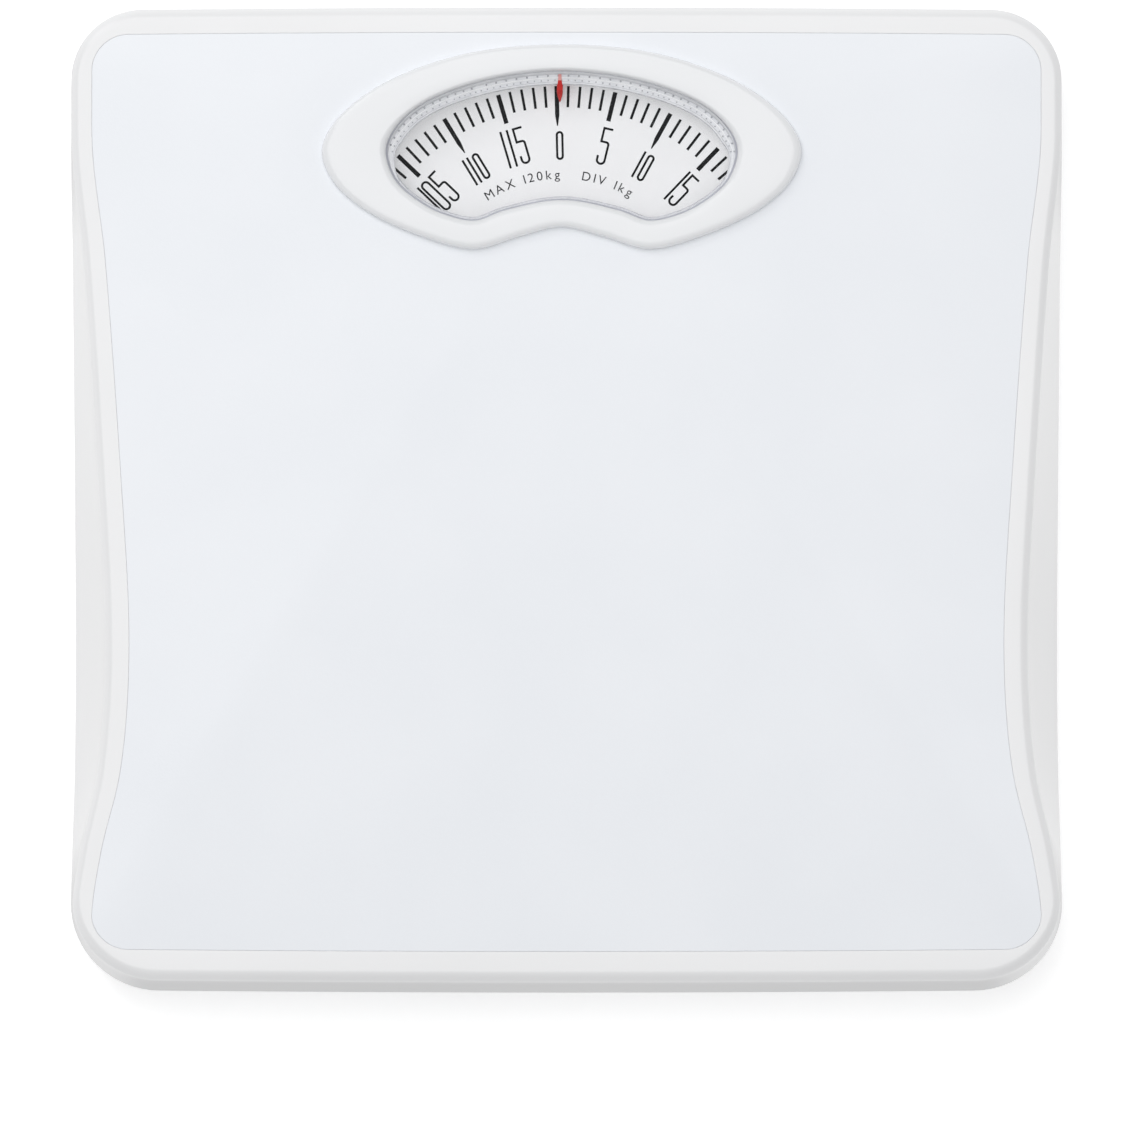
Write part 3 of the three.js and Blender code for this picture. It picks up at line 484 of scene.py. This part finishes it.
def cut_box(target, low, high, radius):
    """Cuts a slot with rounded corners, drawn in XZ, through target along Y."""
    (x0, y0, z0), (x1, y1, z1) = low, high
    outline = []
    for cx, cz, start in ((x1 - radius, z0 + radius, -90), (x1 - radius, z1 - radius, 0),
                          (x0 + radius, z1 - radius, 90), (x0 + radius, z0 + radius, 180)):
        for k in range(7):
            angle = math.radians(start + 15 * k)
            outline.append((cx + radius * math.cos(angle), cz + radius * math.sin(angle)))
    vertices, faces = loft([[(x, y, z) for x, z in outline] for y in (y0, y1)])
    tool = piece("slot_tool", vertices, faces, ENAMEL)
    cutting = target.modifiers.new("slot", "BOOLEAN")
    cutting.object = tool
    cutting.solver = "EXACT"
    applied = bpy.data.meshes.new_from_object(target.evaluated_get(bpy.context.evaluated_depsgraph_get()))
    target.modifiers.clear()
    target.data = applied
    bpy.data.objects.remove(tool)


def platform_shell():
    """Pressed cover: rolled hem, pinched skirt, rounded shoulder, flat rim, shallow recess for the mat."""
    hem, recess_edge = 0.5, 0.12
    slot_half, slot_corner, slot_depth, slot_below, slot_above = 14, 3, 6, 1.9, 2.1
    outer = [(SKIRT, SKIRT_BOTTOM + hem)]
    outer += [(mixed(SKIRT, SHOULDER, t), SKIRT_BOTTOM + (SHOULDER_Z - SKIRT_BOTTOM) * t)
              for t in (0.08, 0.3, 0.55, 0.8)]
    outer += turned_in((SHOULDER, RIM), SHOULDER_Z, PLATFORM_TOP, 10)
    outer += [(MAT - INSET * recess_edge, PLATFORM_TOP), (MAT, PLATFORM_TOP - recess_edge), (MAT, RECESS)]
    inner = [(RIM + INSET * SHEET, UNDERSIDE), (SHOULDER + INSET * SHEET, SHOULDER_Z - SHEET),
             (SKIRT + INSET * SHEET, SKIRT_BOTTOM + hem), (SKIRT + INSET * (SHEET * 0.5), SKIRT_BOTTOM)]
    hole = hole_facing(plan_outline(MAT), PLATFORM_HOLE)
    rings = [at_height(plan_outline(level), z) for level, z in outer]
    rings += [at_height(hole, RECESS), at_height(hole, UNDERSIDE)]
    rings += [at_height(plan_outline(level), z) for level, z in inner]
    shell = piece("platform_shell", *loft(rings, closed=True), ENAMEL)
    cut_box(shell, (-slot_half, wheel_high.y - slot_depth, wheel_low.z - slot_below),
            (slot_half, HALF_DEPTH + 2, wheel_high.z + slot_above), slot_corner)
    shell.data.set_sharp_from_angle(angle=SHARP)
    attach(shell, "platform")
    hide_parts("platform_cover")


def mat_sheet():
    """Vinyl sheet let into the recess, its edges rounded over, with an opening under the bezel."""
    gap, round_over = 0.03, 0.15
    edge = MAT + INSET * gap
    outline = plan_outline(edge)
    hole = hole_facing(outline, MAT_HOLE)
    rings = [at_height(outline, RECESS + 0.02)]
    rounded = turned_in((edge, edge + INSET * round_over), mat_high.z - round_over, mat_high.z, 4)
    rings += [at_height(plan_outline(level), z) for level, z in rounded]
    rings += [at_height(hole, mat_high.z), at_height(hole, RECESS + 0.02)]
    mat = piece("mat_sheet", *loft(rings, closed=True), VINYL, "platform", "vinyl_mat")
    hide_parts("platform_mat")


def tray_pan():
    """Base pan: drawn with rounded lower edges, two stiffening beads round its floor."""
    floor, top, bottom = tray_low.z + SHEET, tray_high.z, tray_low.z
    bend = 1.8
    lip = 0.25
    floor_edge, smallest_corner = 12, 6
    levels = [(TRAY + INSET * floor_edge, floor), (TRAY + INSET * (SHEET + bend * 0.4), floor),
              (TRAY + INSET * SHEET, floor + bend * 0.4), (TRAY + INSET * SHEET, top - lip),
              (TRAY + INSET * (SHEET / 2), top), (TRAY, top - lip)]
    for k in range(7):
        turn = math.pi / 2 * k / 6
        levels.append((TRAY + INSET * bend * (1 - math.cos(turn)), bottom + bend * (1 - math.sin(turn))))
    for inset in TRAY_BEADS:
        for offset, depth in BEAD_SECTION:
            level = TRAY + INSET * (inset + offset)
            level[4:] = np.maximum(level[4:], smallest_corner)
            levels.append((level, bottom + depth))
    rings = [at_height(plan_outline(level), z) for level, z in levels]
    tray = piece("tray_pan", *loft(rings), TRAY_ENAMEL, "base", "white_enamel")
    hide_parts("base_tray")


platform_shell()
mat_sheet()
tray_pan()


# ---- Window: bezel, lens, pointer --------------------------------------------------------------------

def inward(curve, reach):
    """Points moved in from a counter-clockwise closed curve, each by reach(point)."""
    out = []
    for i, (x, y) in enumerate(curve):
        (ax, ay), (bx, by) = curve[i - 1], curve[(i + 1) % len(curve)]
        run = math.hypot(bx - ax, by - ay)
        distance = reach(x, y)
        out.append((x - (by - ay) / run * distance, y + (bx - ax) / run * distance))
    return out


BACK = (96, 9)  # y where the window's round back begins, and the stretch over which it is reached
BAND = (85, 13)  # the same for the wide part of the lens's edge
ROLL_AT_BACK = 0.35
# Share of the painted-shade strips' width that is left round the window's back.
SHADE_STRIP_AT_BACK = 0.12
LENS_BAND_TOP = lens_high.z + 2.2
NARROW_BAND = 0.9
WIDENING = 2.6
BEADED_WIDTH = 2.6  # beads stand only where the band is wider than this
BEAD_ROWS = ((0.34, 2.1, 0.33), (0.69, 1.5, 0.24))  # share across the band, spacing, radius


def risen(y, start, stretch):
    """0 in front of start, 1 behind the stretch that follows it."""
    return min(max((y - start) / stretch, 0), 1)


def front_share(y, rear):
    """1 along the window's front and ends, falling to rear round its back."""
    return 1 - (1 - rear) * risen(y, *BACK)


def bezel_ring():
    """Gently sloped ring, steep at its brim, rolled over into the window, with a flange down to the lens."""
    top = bezel_high.z
    brim = PLATFORM_TOP + 0.02
    section = [(0, brim), (0, brim + 0.7), (0.006, brim + 1.3), (0.018, brim + 1.85), (0.04, brim + 2.25),
               (0.08, brim + 2.52), (0.15, brim + 2.7), (0.3, brim + 2.83), (0.6, top - 0.04)]
    rings = [at_height(window_ring(share), z) for share, z in section]
    window = window_ring(1)
    roll = [(2, top), (1.3, top - 0.1), (0.7, top - 0.4), (0.28, top - 0.9), (0.06, top - 1.5),
            (0, top - 2.2), (0, bezel_low.z + 0.1)]
    rings += [at_height(inward(window, lambda x, y, out=out: -out * front_share(y, ROLL_AT_BACK)), z)
              for out, z in roll]
    flange_share = 0.76
    flange = window_ring(flange_share)
    rings += [at_height(flange, bezel_low.z), at_height(flange, brim)]
    ring = piece("bezel_ring", *loft(rings, closed=True), BEZEL, "platform", "white_plastic",
                 sharp=math.radians(50))
    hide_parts("dial_bezel")


def band_width(y):
    """Width of the lens's moulded edge: wide round the back and the ends, narrow along the front."""
    return NARROW_BAND + WIDENING * risen(y, *BAND)


def lets_light_past(glassy):
    """Clear plastic edges throw no shadow on the dial below them."""
    glassy.visible_shadow = False
    glassy.visible_diffuse = False


def lens_edge():
    """Raised rim of the clear window piece: ribbed band with a pale rib of painted highlight along its
    middle, two rows of beads, and grey strips of painted shade that slope inwards, wide along the front.
    """
    window = window_ring(1)
    low, band = lens_high.z - 0.1, LENS_BAND_TOP

    def ring(name, section, reach, material):
        rings = [at_height(inward(window, lambda x, y, share=share: reach(y, share)), z)
                 for share, z in section]
        lets_light_past(piece(name, *loft(rings, closed=True), material, "platform", "clear_plastic"))

    def across_band(y, share):
        return share * band_width(y)

    outer_rib = [(-0.02, low), (-0.02, band + 0.5), (0.1, band + 0.6), (0.18, band + 0.5), (0.26, band)]
    inner_rib = [(0.8, band - 0.05), (0.86, band + 0.2), (0.95, band + 0.2), (1, band - 0.1), (1, low)]
    ring("lens_edge", outer_rib + inner_rib, across_band, LENS_BAND)
    # Raised rib along the band's middle; its paler tone is a painted highlight.
    ring("lens_highlight_rib", [(0.47, band - 0.1), (0.48, band + 0.15), (0.54, band + 0.15), (0.55, band - 0.1)],
         across_band, LENS_HIGHLIGHT_RIB)
    # Strips in darkening grey tones: painted shade along the window's edge, wide at the front, narrow round
    # the back.
    levels = [(-0.05, band + 0.9), (0.45, band + 0.6), (0.9, band - 1.2), (1.35, lens_high.z + 0.4)]
    for k, ((start, high), (end, foot)) in enumerate(zip(levels, levels[1:])):
        ring(f"lens_shade_strip_{k}", [(start, low), (start, high), (end, foot), (end, low)],
             lambda y, share: share * front_share(y, SHADE_STRIP_AT_BACK), LENS_SHADE_STRIPS[k])

    beads = []
    for share, spacing, radius in BEAD_ROWS:
        line = inward(window_ring(1, steps=24), lambda x, y: across_band(y, share))
        walked = 0.0
        for (ax, ay), (bx, by) in zip(line, line[1:] + line[:1]):
            walked += math.hypot(bx - ax, by - ay)
            if walked >= spacing and band_width(by) > BEADED_WIDTH:
                walked = 0.0
                profile = [(0, -0.2), (radius, -0.2), (radius * 0.8, 0.08), (0, 0.16)]
                beads.append(lathe(profile, (bx, by, band), 8))
    piece("lens_beads", *merged(beads), LENS_DOTS, "platform", "clear_plastic")


def pointer():
    """Red marker: a slim rounded blade under the lens, and its root and pale end on the lens's edge."""
    low, high = box_mm("zero_pointer")
    left_of_centre = 0.5
    middle = (low.x + high.x) / 2 - left_of_centre
    halves = [(0, 0.34), (0.12, 0.5), (0.28, 0.82), (0.62, 0.82), (0.78, 0.6), (0.9, 0.34), (1, 0.12)]
    rings = []
    for inset, z in ((0.12, low.z), (0, low.z + 0.3), (0, high.z - 0.4), (0.12, high.z - 0.05)):
        right = [(middle + max(half - inset, 0.05), mixed(high.y, low.y, t)) for t, half in halves]
        left = [(2 * middle - x, y) for x, y in reversed(right)]
        rings.append(at_height(right + left, z))
    blade = piece("pointer_blade", *loft(rings), RED, "platform", "red_plastic")
    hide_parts("zero_pointer")
    z = LENS_BAND_TOP
    for name, material, rear, front, rear_half, front_half in (
            ("pointer_root", RED, high.y - 1, high.y - 3.6, 0.5, 0.8),
            ("pointer_end", PALE_RED, high.y + 0.9, high.y - 1, 0.4, 0.5)):
        outline = [(middle - front_half, front), (middle + front_half, front), (middle + rear_half, rear),
                   (middle - rear_half, rear)]
        piece(name, *loft([at_height(outline, z - 0.2), at_height(outline, z + 0.25)]), material, "platform",
              "red_plastic")


bezel_ring()
lens_edge()
pointer()


# ---- Dial and its print ------------------------------------------------------------------------------

PRINT_TOP = DIAL_TOP + 0.03
ZERO_TURN = -1.3  # degrees that the zero mark stands off the pointer
DEGREES_PER_KG = 3
TICK_END = 61.6
NUMERAL_FOOT = 41.4
NUMERAL_SHIFT = 0.5
TENS, FIVES = (7.9, 1.5), (10.35, 2.1)  # height and digit width of the numerals
TEXT_RADIUS = 36.3
TEXT_SIZE = 3.5
STROKE = 0.6
DIGIT_GAP = 1.4
CLOSE_SET = {15: [1.1], 105: [0.9, 1.25], 115: [1.8, 1.7]}  # gaps of the numerals that are spaced one by one


def on_dial(kg, across, out):
    """Point on the dial: across to the right of a mark's radius, out from the centre."""
    angle = math.radians(ZERO_TURN + DEGREES_PER_KG * kg)
    return (DIAL_X + across * math.cos(angle) + out * math.sin(angle),
            DIAL_Y - across * math.sin(angle) + out * math.cos(angle))


def flat(outline):
    """Thin printed patch on the dial."""
    return loft([at_height(outline, DIAL_TOP - 0.01), at_height(outline, PRINT_TOP)])


def tick(kg):
    """Printed mark of a kilogram: with a pointed foot at tens, broad at fives, fine and short between."""
    if kg % 10 == 0:
        shape = [(-0.6, TICK_END), (-0.58, 53.7), (-0.14, 50.7), (0.14, 50.7), (0.58, 53.7), (0.6, TICK_END)]
    elif kg % 5 == 0:
        shape = [(-0.6, TICK_END), (-0.6, 53.5), (0.6, 53.5), (0.6, TICK_END)]
    else:
        shape = [(-0.36, TICK_END), (-0.36, 55.8), (0.36, 55.8), (0.36, TICK_END)]
    return flat([on_dial(kg, across, out) for across, out in shape])


def bow(cx, cy, rx, ry, start, end, steps=10):
    """Arc of an ellipse, angles in degrees."""
    return [(cx + rx * math.cos(math.radians(start + (end - start) * k / steps)),
             cy + ry * math.sin(math.radians(start + (end - start) * k / steps))) for k in range(steps + 1)]


def glyph(digit, height, width):
    """Centre lines of a tall condensed digit as lists of points, and its advance width."""
    h, w, r = height, width, width / 2
    if digit == "0":
        return [bow(r, h - r, r, r, 0, 180) + bow(r, r, r, r, 180, 360) + [(w, h - r)]], w
    if digit == "1":
        return [[(0, 0), (0, h)]], 0
    if digit == "2":
        return [bow(r, h - r, r, r, 180, 0) + [(w, h * 0.72), (0, 0), (w, 0)]], w
    if digit == "3":
        return [bow(r, h - r, r, r, 160, -10) + bow(r, h * 0.62, r, h * 0.09, 0, -90, 5)
                + bow(r, h * 0.44, r, h * 0.09, 90, 0, 5) + bow(r, r, r, r, 0, -160)], w
    if digit == "4":
        return [[(w * 0.78, 0), (w * 0.78, h), (0, h * 0.26), (w, h * 0.26)]], w
    if digit == "5":
        waist, turn = h * 0.62, w * 0.32
        return [[(w * 1.02, h), (0, h), (0, waist)] + bow(w - turn, waist - turn, turn, turn, 90, 0, 6)
                + bow(r, r, r, r, 0, -180) + [(0, h * 0.19)]], w
    if digit == "6":
        return [[(w * 0.8, h), (w * 0.12, h * 0.55), (0, h * 0.3)] + bow(r, r, r, r, 180, 360)
                + bow(r, h * 0.42, r, h * 0.12, 0, 180)], w
    if digit == "7":
        return [[(0, h), (w, h), (w * 0.3, 0)]], w
    if digit == "8":
        return [bow(r, h - r * 0.9, r * 0.9, r * 0.9, -40, 220) + bow(r, r, r, r, 150, 390)
                + [(w * 0.86, h - r * 1.5)]], w
    return [[(w * 0.2, 0), (w * 0.88, h * 0.45), (w, h * 0.7)] + bow(r, h - r, r, r, 0, 180)
            + bow(r, h * 0.58, r, h * 0.12, 180, 360)], w


def stroke(points, width):
    """Outline of a line with mitred corners and square ends that stand out by half its width."""
    points = [Vector(p) for p in points]
    points[0] = points[0] + (points[0] - points[1]).normalized() * width / 2
    points[-1] = points[-1] + (points[-1] - points[-2]).normalized() * width / 2
    left, right = [], []
    for i, point in enumerate(points):
        before = (point - points[i - 1]).normalized() if i else (points[1] - point).normalized()
        after = (points[i + 1] - point).normalized() if i + 1 < len(points) else before
        n0, n1 = Vector((-before.y, before.x)), Vector((-after.y, after.x))
        middle = (n0 + n1).normalized()
        reach = min(width / 2 / max(middle.dot(n0), 0.3), width)
        left.append(point + middle * reach)
        right.append(point - middle * reach)
    return left, right


def numeral(kg):
    """Printed number of a kilogram, its foot towards the dial's centre."""
    height, digit_width = TENS if kg % 10 == 0 else FIVES
    glyphs = [glyph(digit, height - STROKE, digit_width) for digit in str(kg)]
    gaps = CLOSE_SET.get(kg, [DIGIT_GAP] * (len(glyphs) - 1))
    start = NUMERAL_SHIFT - (sum(width for _, width in glyphs) + sum(gaps)) / 2
    patches = []
    for (lines, width), gap in zip(glyphs, gaps + [0]):
        for line in lines:
            left, right = stroke([(start + x, NUMERAL_FOOT + STROKE / 2 + y) for x, y in line], STROKE)
            left = [on_dial(kg, *p) for p in left]
            right = [on_dial(kg, *p) for p in right]
            for i in range(len(line) - 1):
                patches.append(flat([left[i], right[i], right[i + 1], left[i + 1]]))
        start += width + gap
    return merged(patches)


def arc_text(words, start):
    """Small filled lettering round the dial from an angle in degrees, read from the front."""
    patches = []
    angle = start
    space, gap = TEXT_SIZE * 0.15, TEXT_SIZE * 0.2
    for letter in words:
        font = bpy.data.curves.new("letter", "FONT")
        font.body = letter
        font.size = TEXT_SIZE
        shown = bpy.data.objects.new("letter", font)
        bpy.context.scene.collection.objects.link(shown)
        bpy.context.view_layer.update()
        mesh = bpy.data.meshes.new_from_object(shown.evaluated_get(bpy.context.evaluated_depsgraph_get()))
        width = max((v.co.x for v in mesh.vertices), default=space)
        at = (angle + math.degrees(width / 2 / TEXT_RADIUS) - ZERO_TURN) / DEGREES_PER_KG
        vertices = [(*on_dial(at, v.co.x - width / 2, TEXT_RADIUS + v.co.y), PRINT_TOP)
                    for v in mesh.vertices]
        patches.append((vertices, [tuple(f.vertices) for f in mesh.polygons]))
        angle += math.degrees((width + gap) / TEXT_RADIUS)
        bpy.data.objects.remove(shown)
    return merged(patches)


def dial():
    """Printed disc: rolled edge, every kilogram marked, every fifth numbered, small capacity text."""
    hub, rolled = 2.2, 0.3
    low, radius = dial_low.z, dial_high.x - DIAL_X
    profile = [(hub, low), (radius - rolled, low), (radius, low + rolled), (radius, DIAL_TOP - rolled),
               (radius - rolled, DIAL_TOP), (hub, DIAL_TOP), (hub, low)]
    disc = piece("dial_plate", *lathe(profile, (DIAL_X, DIAL_Y, 0), 144), DIAL_FACE, "dial", "dial_face")
    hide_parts("dial_disc")
    piece("dial_marks", *merged([tick(kg) for kg in range(120)]), INK, "dial", smooth=False)
    piece("dial_numbers", *merged([numeral(kg) for kg in range(0, 120, 5)]), INK, "dial", smooth=False)
    text = merged([arc_text("MAX 120kg", -33.8), arc_text("DIV 1kg", 8.2)])
    piece("dial_text", *text, GREY_INK, "dial", smooth=False)


dial()


# ---- Zero wheel, feet, springs, rivets ---------------------------------------------------------------

def zero_wheel():
    """Thumb wheel with fine rounded ridges and a dished upper face."""
    centre = centre_mm("zero_wheel")
    outer = wheel_high.x - centre.x
    ridges = 66
    points = ridges * 6

    def ring(radius, z, depth):
        out = []
        for i in range(points):
            angle = TAU * i / points
            r = radius - depth * (0.5 - 0.5 * math.cos(angle * ridges)) ** 1.5
            out.append((centre.x + r * math.cos(angle), centre.y + r * math.sin(angle), z))
        return out

    low, high = wheel_low.z, wheel_high.z
    bore = 3.25
    levels = [(bore, low, 0), (outer - 1.4, low, 0), (outer - 0.5, low + 0.35, 0.4), (outer, low + 1, 0.75),
              (outer, high - 1, 0.75), (outer - 0.5, high - 0.35, 0.4), (outer - 1.6, high, 0),
              (outer - 3.6, high, 0), (outer - 4.4, high - 1.6, 0), (outer - 5, high - 1.9, 0),
              (7.4, high - 1.9, 0), (6.8, high - 1.5, 0), (6.4, high, 0), (bore + 0.4, high, 0),
              (bore, high - 0.4, 0)]
    wheel = piece("zero_thumbwheel", *loft([ring(*level) for level in levels], closed=True), GREY_PLASTIC,
                  "zero_wheel", "grey_plastic")
    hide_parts("zero_wheel")


def feet():
    """Moulded rubber feet: a snap-in head above the tray, a dimple and a ring groove in the sole."""
    for node in frame["nodes"]:
        if not node.startswith("foot_"):
            continue
        low, high = box_mm(node)
        middle = (low + high) / 2
        radius = high.x - middle.x
        neck = tray_low.z
        sole = [(0, 0.5), (2, 0.5), (2.6, 0), (4, 0), (4.5, 0.45), (5.1, 0.45), (5.6, 0), (7.6, 0),
                (8.4, 0.25)]
        side = [(radius, 1.1), (radius, 3.4), (radius - 0.3, 4.4), (radius - 1, neck - 0.02)]
        head = [(3.8, neck - 0.02), (3.8, neck + 0.95), (5.3, neck + 1.05), (5.5, neck + 1.4),
                (4.6, neck + 2.6), (3.2, high.z), (0, high.z)]
        foot = piece(f"rubber_{node}", *lathe(sole + side + head, (middle.x, middle.y, 0), 56), RUBBER,
                     "base", "foot_rubber", sharp=math.radians(50))
        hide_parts(node)


def coil(centre, radius, wire, bottom, top, turns, flat_turns, per_turn=32):
    """Path of a coil along Z whose end turns lie closed, as (x, y, z) points."""
    cx, cy = centre
    total = turns + 2 * flat_turns
    closed_pitch = 2.05 * wire
    pitch = (top - bottom - 2 * flat_turns * closed_pitch) / turns
    path = []
    for k in range(int(total * per_turn) + 1):
        turn = k / per_turn
        if turn < flat_turns:
            z = bottom + turn * closed_pitch
        elif turn < flat_turns + turns:
            z = bottom + flat_turns * closed_pitch + (turn - flat_turns) * pitch
        else:
            z = top - (total - turn) * closed_pitch
        path.append((cx + radius * math.cos(TAU * turn), cy + radius * math.sin(TAU * turn), z))
    return path


def retaining_springs():
    """Four small tension springs with hooked ends, between the tray's anchors and the platform."""
    for node in [n for n in frame["nodes"] if n.startswith("retaining_spring_")]:
        low, high = box_mm(node)
        middle = (low + high) / 2
        wire, radius = 0.4, 2.2
        path = coil((middle.x, middle.y), radius, wire, low.z + wire, high.z - wire, 6, 1.5)
        hook_reach = 1.9
        toward = -hook_reach if middle.y > 0 else hook_reach
        foot_path = [(middle.x, middle.y + toward, tray_low.z + 2.6),
                     (middle.x, middle.y + toward * 0.6, tray_low.z + 2.2),
                     (middle.x, middle.y, tray_low.z + 2.9), (middle.x, middle.y, low.z - 0.7),
                     (middle.x + radius * 0.6, middle.y, low.z + 0.1)]
        head_path = [(middle.x + radius * 0.6, middle.y, high.z - 0.1), (middle.x, middle.y, high.z + 0.25)]
        made = piece(f"hooked_{node}", *sweep(foot_path + path + head_path, wire), SPRING_STEEL,
                     slot="spring_steel")
        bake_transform(made)
        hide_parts(node)


def main_spring():
    """Stout spring that carries the load, its end turns closed."""
    low, high = box_mm("main_spring")
    middle = (low + high) / 2
    wire = 1.2
    path = coil((middle.x, middle.y), 8.4, wire, low.z + wire, high.z - wire, 2.0, 0.9, 48)
    made = piece("main_coil", *sweep(path, wire, 16), SPRING_STEEL, slot="spring_steel")
    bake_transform(made)
    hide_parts("main_spring")


def rack_spring():
    """Thin, long spring lying along Y that draws the rack back."""
    low, high = box_mm("rack_spring")
    middle = (low + high) / 2
    wire, length = 0.2, high.y - low.y
    turns = coil((0, 0), 1.0, wire, wire, length - wire, 26, 3, 16)
    path = [(middle.x + z, low.y + y, middle.z + x) for x, z, y in turns]
    made = piece("rack_coil", *sweep(path, wire, 8), SPRING_STEEL, slot="spring_steel")
    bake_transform(made)
    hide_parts("rack_spring")


def rivet(x, y, z):
    """Domed head hanging below z."""
    radius, height = 2.2, 0.9
    profile = [(0, z - height), (radius * 0.55, z - height * 0.85), (radius * 0.9, z - height * 0.4),
               (radius, z), (0, z)]
    return lathe(profile, (x, y, 0), 20)


def rivets():
    """Heads under the tray where the posts, the tower, the bridge and the anchors are fastened."""
    bottom = tray_low.z + 0.05
    inset, half_spacing = 4, 5
    spots = []
    for node in frame["nodes"]:
        middle = centre_mm(node)
        low, high = box_mm(node)
        if node.startswith("fulcrum_post_"):
            y = high.y - inset if middle.y < 0 else low.y + inset
            spots += [(middle.x - half_spacing, y), (middle.x + half_spacing, y)]
        if node.startswith("retainer_anchor_"):
            spots.append((middle.x, middle.y))
        if node in ("spring_tower", "dial_bridge"):
            for x in (low.x + inset, high.x - inset):
                spots += [(x, low.y + inset), (x, high.y - inset)]
    piece("tray_rivets", *merged([rivet(x, y, bottom) for x, y in spots]), ZINC, "base", "zinc_steel")


zero_wheel()
feet()
retaining_springs()
main_spring()
rack_spring()
rivets()


# ---- Camera, light, floor ----------------------------------------------------------------------------

# Lengths in this section are in metres.

def stage():
    """Pale floor that takes the scale's shadow and sends no light back onto it."""
    size = 6.0
    vertices = [(-size, -size, 0), (size, -size, 0), (size, size, 0), (-size, size, 0)]
    floor = piece("studio_floor", [Vector(v) / MM for v in vertices], [(0, 1, 2, 3)], FLOOR)
    floor.visible_diffuse = False
    floor.visible_glossy = False


def area_light(name, position, target, size, power):
    data = bpy.data.lights.new(name, "AREA")
    data.shape = "DISK"
    data.size = size
    data.energy = power
    lamp = bpy.data.objects.new(name, data)
    lamp.location = position
    lamp.rotation_euler = (Vector(target) - Vector(position)).to_track_quat("-Z", "Y").to_euler()
    bpy.context.scene.collection.objects.link(lamp)


def camera():
    """Long lens almost straight above, tipped a little towards the front edge."""
    frame_width = 0.305
    elevation = math.radians(85.8)
    distance = 14.0
    aim = Vector((-0.00136, -0.0181, PLATFORM_TOP * MM))
    data = bpy.data.cameras.new("camera")
    data.sensor_width = 36
    data.lens = data.sensor_width * distance / frame_width
    data.clip_end = 50
    made = bpy.data.objects.new("camera", data)
    back = Vector((0, -math.cos(elevation), math.sin(elevation)))
    made.location = aim + back * distance
    made.rotation_euler = (-back).to_track_quat("-Z", "Y").to_euler()
    bpy.context.scene.collection.objects.link(made)
    bpy.context.scene.camera = made


def lighting():
    """White room, brightest at and below the horizon, where a pale table sends light up.

    It is dimmer overhead and in a narrow strip straight beneath."""
    world = bpy.data.worlds.new("studio")
    world.use_nodes = True
    nodes, links = world.node_tree.nodes, world.node_tree.links
    direction = nodes.new("ShaderNodeTexCoord")
    parts = nodes.new("ShaderNodeSeparateXYZ")
    links.new(direction.outputs["Generated"], parts.inputs["Vector"])

    def ramp(source, start, end, low, high):
        mapped = nodes.new("ShaderNodeMapRange")
        for name, value in (("From Min", start), ("From Max", end), ("To Min", low), ("To Max", high)):
            mapped.inputs[name].default_value = value
        links.new(source, mapped.inputs["Value"])
        return mapped

    def combined(operation, *sources):
        node = nodes.new("ShaderNodeMath")
        node.operation = operation
        for k, source in enumerate(sources):
            links.new(source, node.inputs[k])
        return node.outputs["Value"]

    horizon, zenith, shaded = 1.06, 0.42, 0.46
    fall = ramp(parts.outputs["Z"], 0, 0.55, horizon, zenith)
    beneath = ramp(parts.outputs["Z"], -0.98, -0.9, shaded, 1)
    aside = combined("ABSOLUTE", parts.outputs["X"])
    beside = ramp(aside, 0.04, 0.14, shaded, 1)
    shade = combined("MAXIMUM", beneath.outputs["Result"], beside.outputs["Result"])
    links.new(combined("MULTIPLY", fall.outputs["Result"], shade), nodes["Background"].inputs["Strength"])
    nodes["Background"].inputs["Color"].default_value = (1, 1, 1, 1)
    bpy.context.scene.world = world
    scale_middle = (0, 0.02, 0.03)
    area_light("overhead", (-0.14, 0.36, 1.7), scale_middle, 1.6, 13.6)
    area_light("rear_left", (-0.9, 1.2, 1.3), scale_middle, 0.8, 5)
    bpy.context.scene.view_settings.view_transform = "Standard"


stage()
camera()
lighting()

for subpart in frame["record"]["subparts"]:
    materials = frame["nodes"][subpart["node"]].data.materials
    materials.clear()
    materials.append(SLOT_MATERIALS[subpart["material_slot"]])
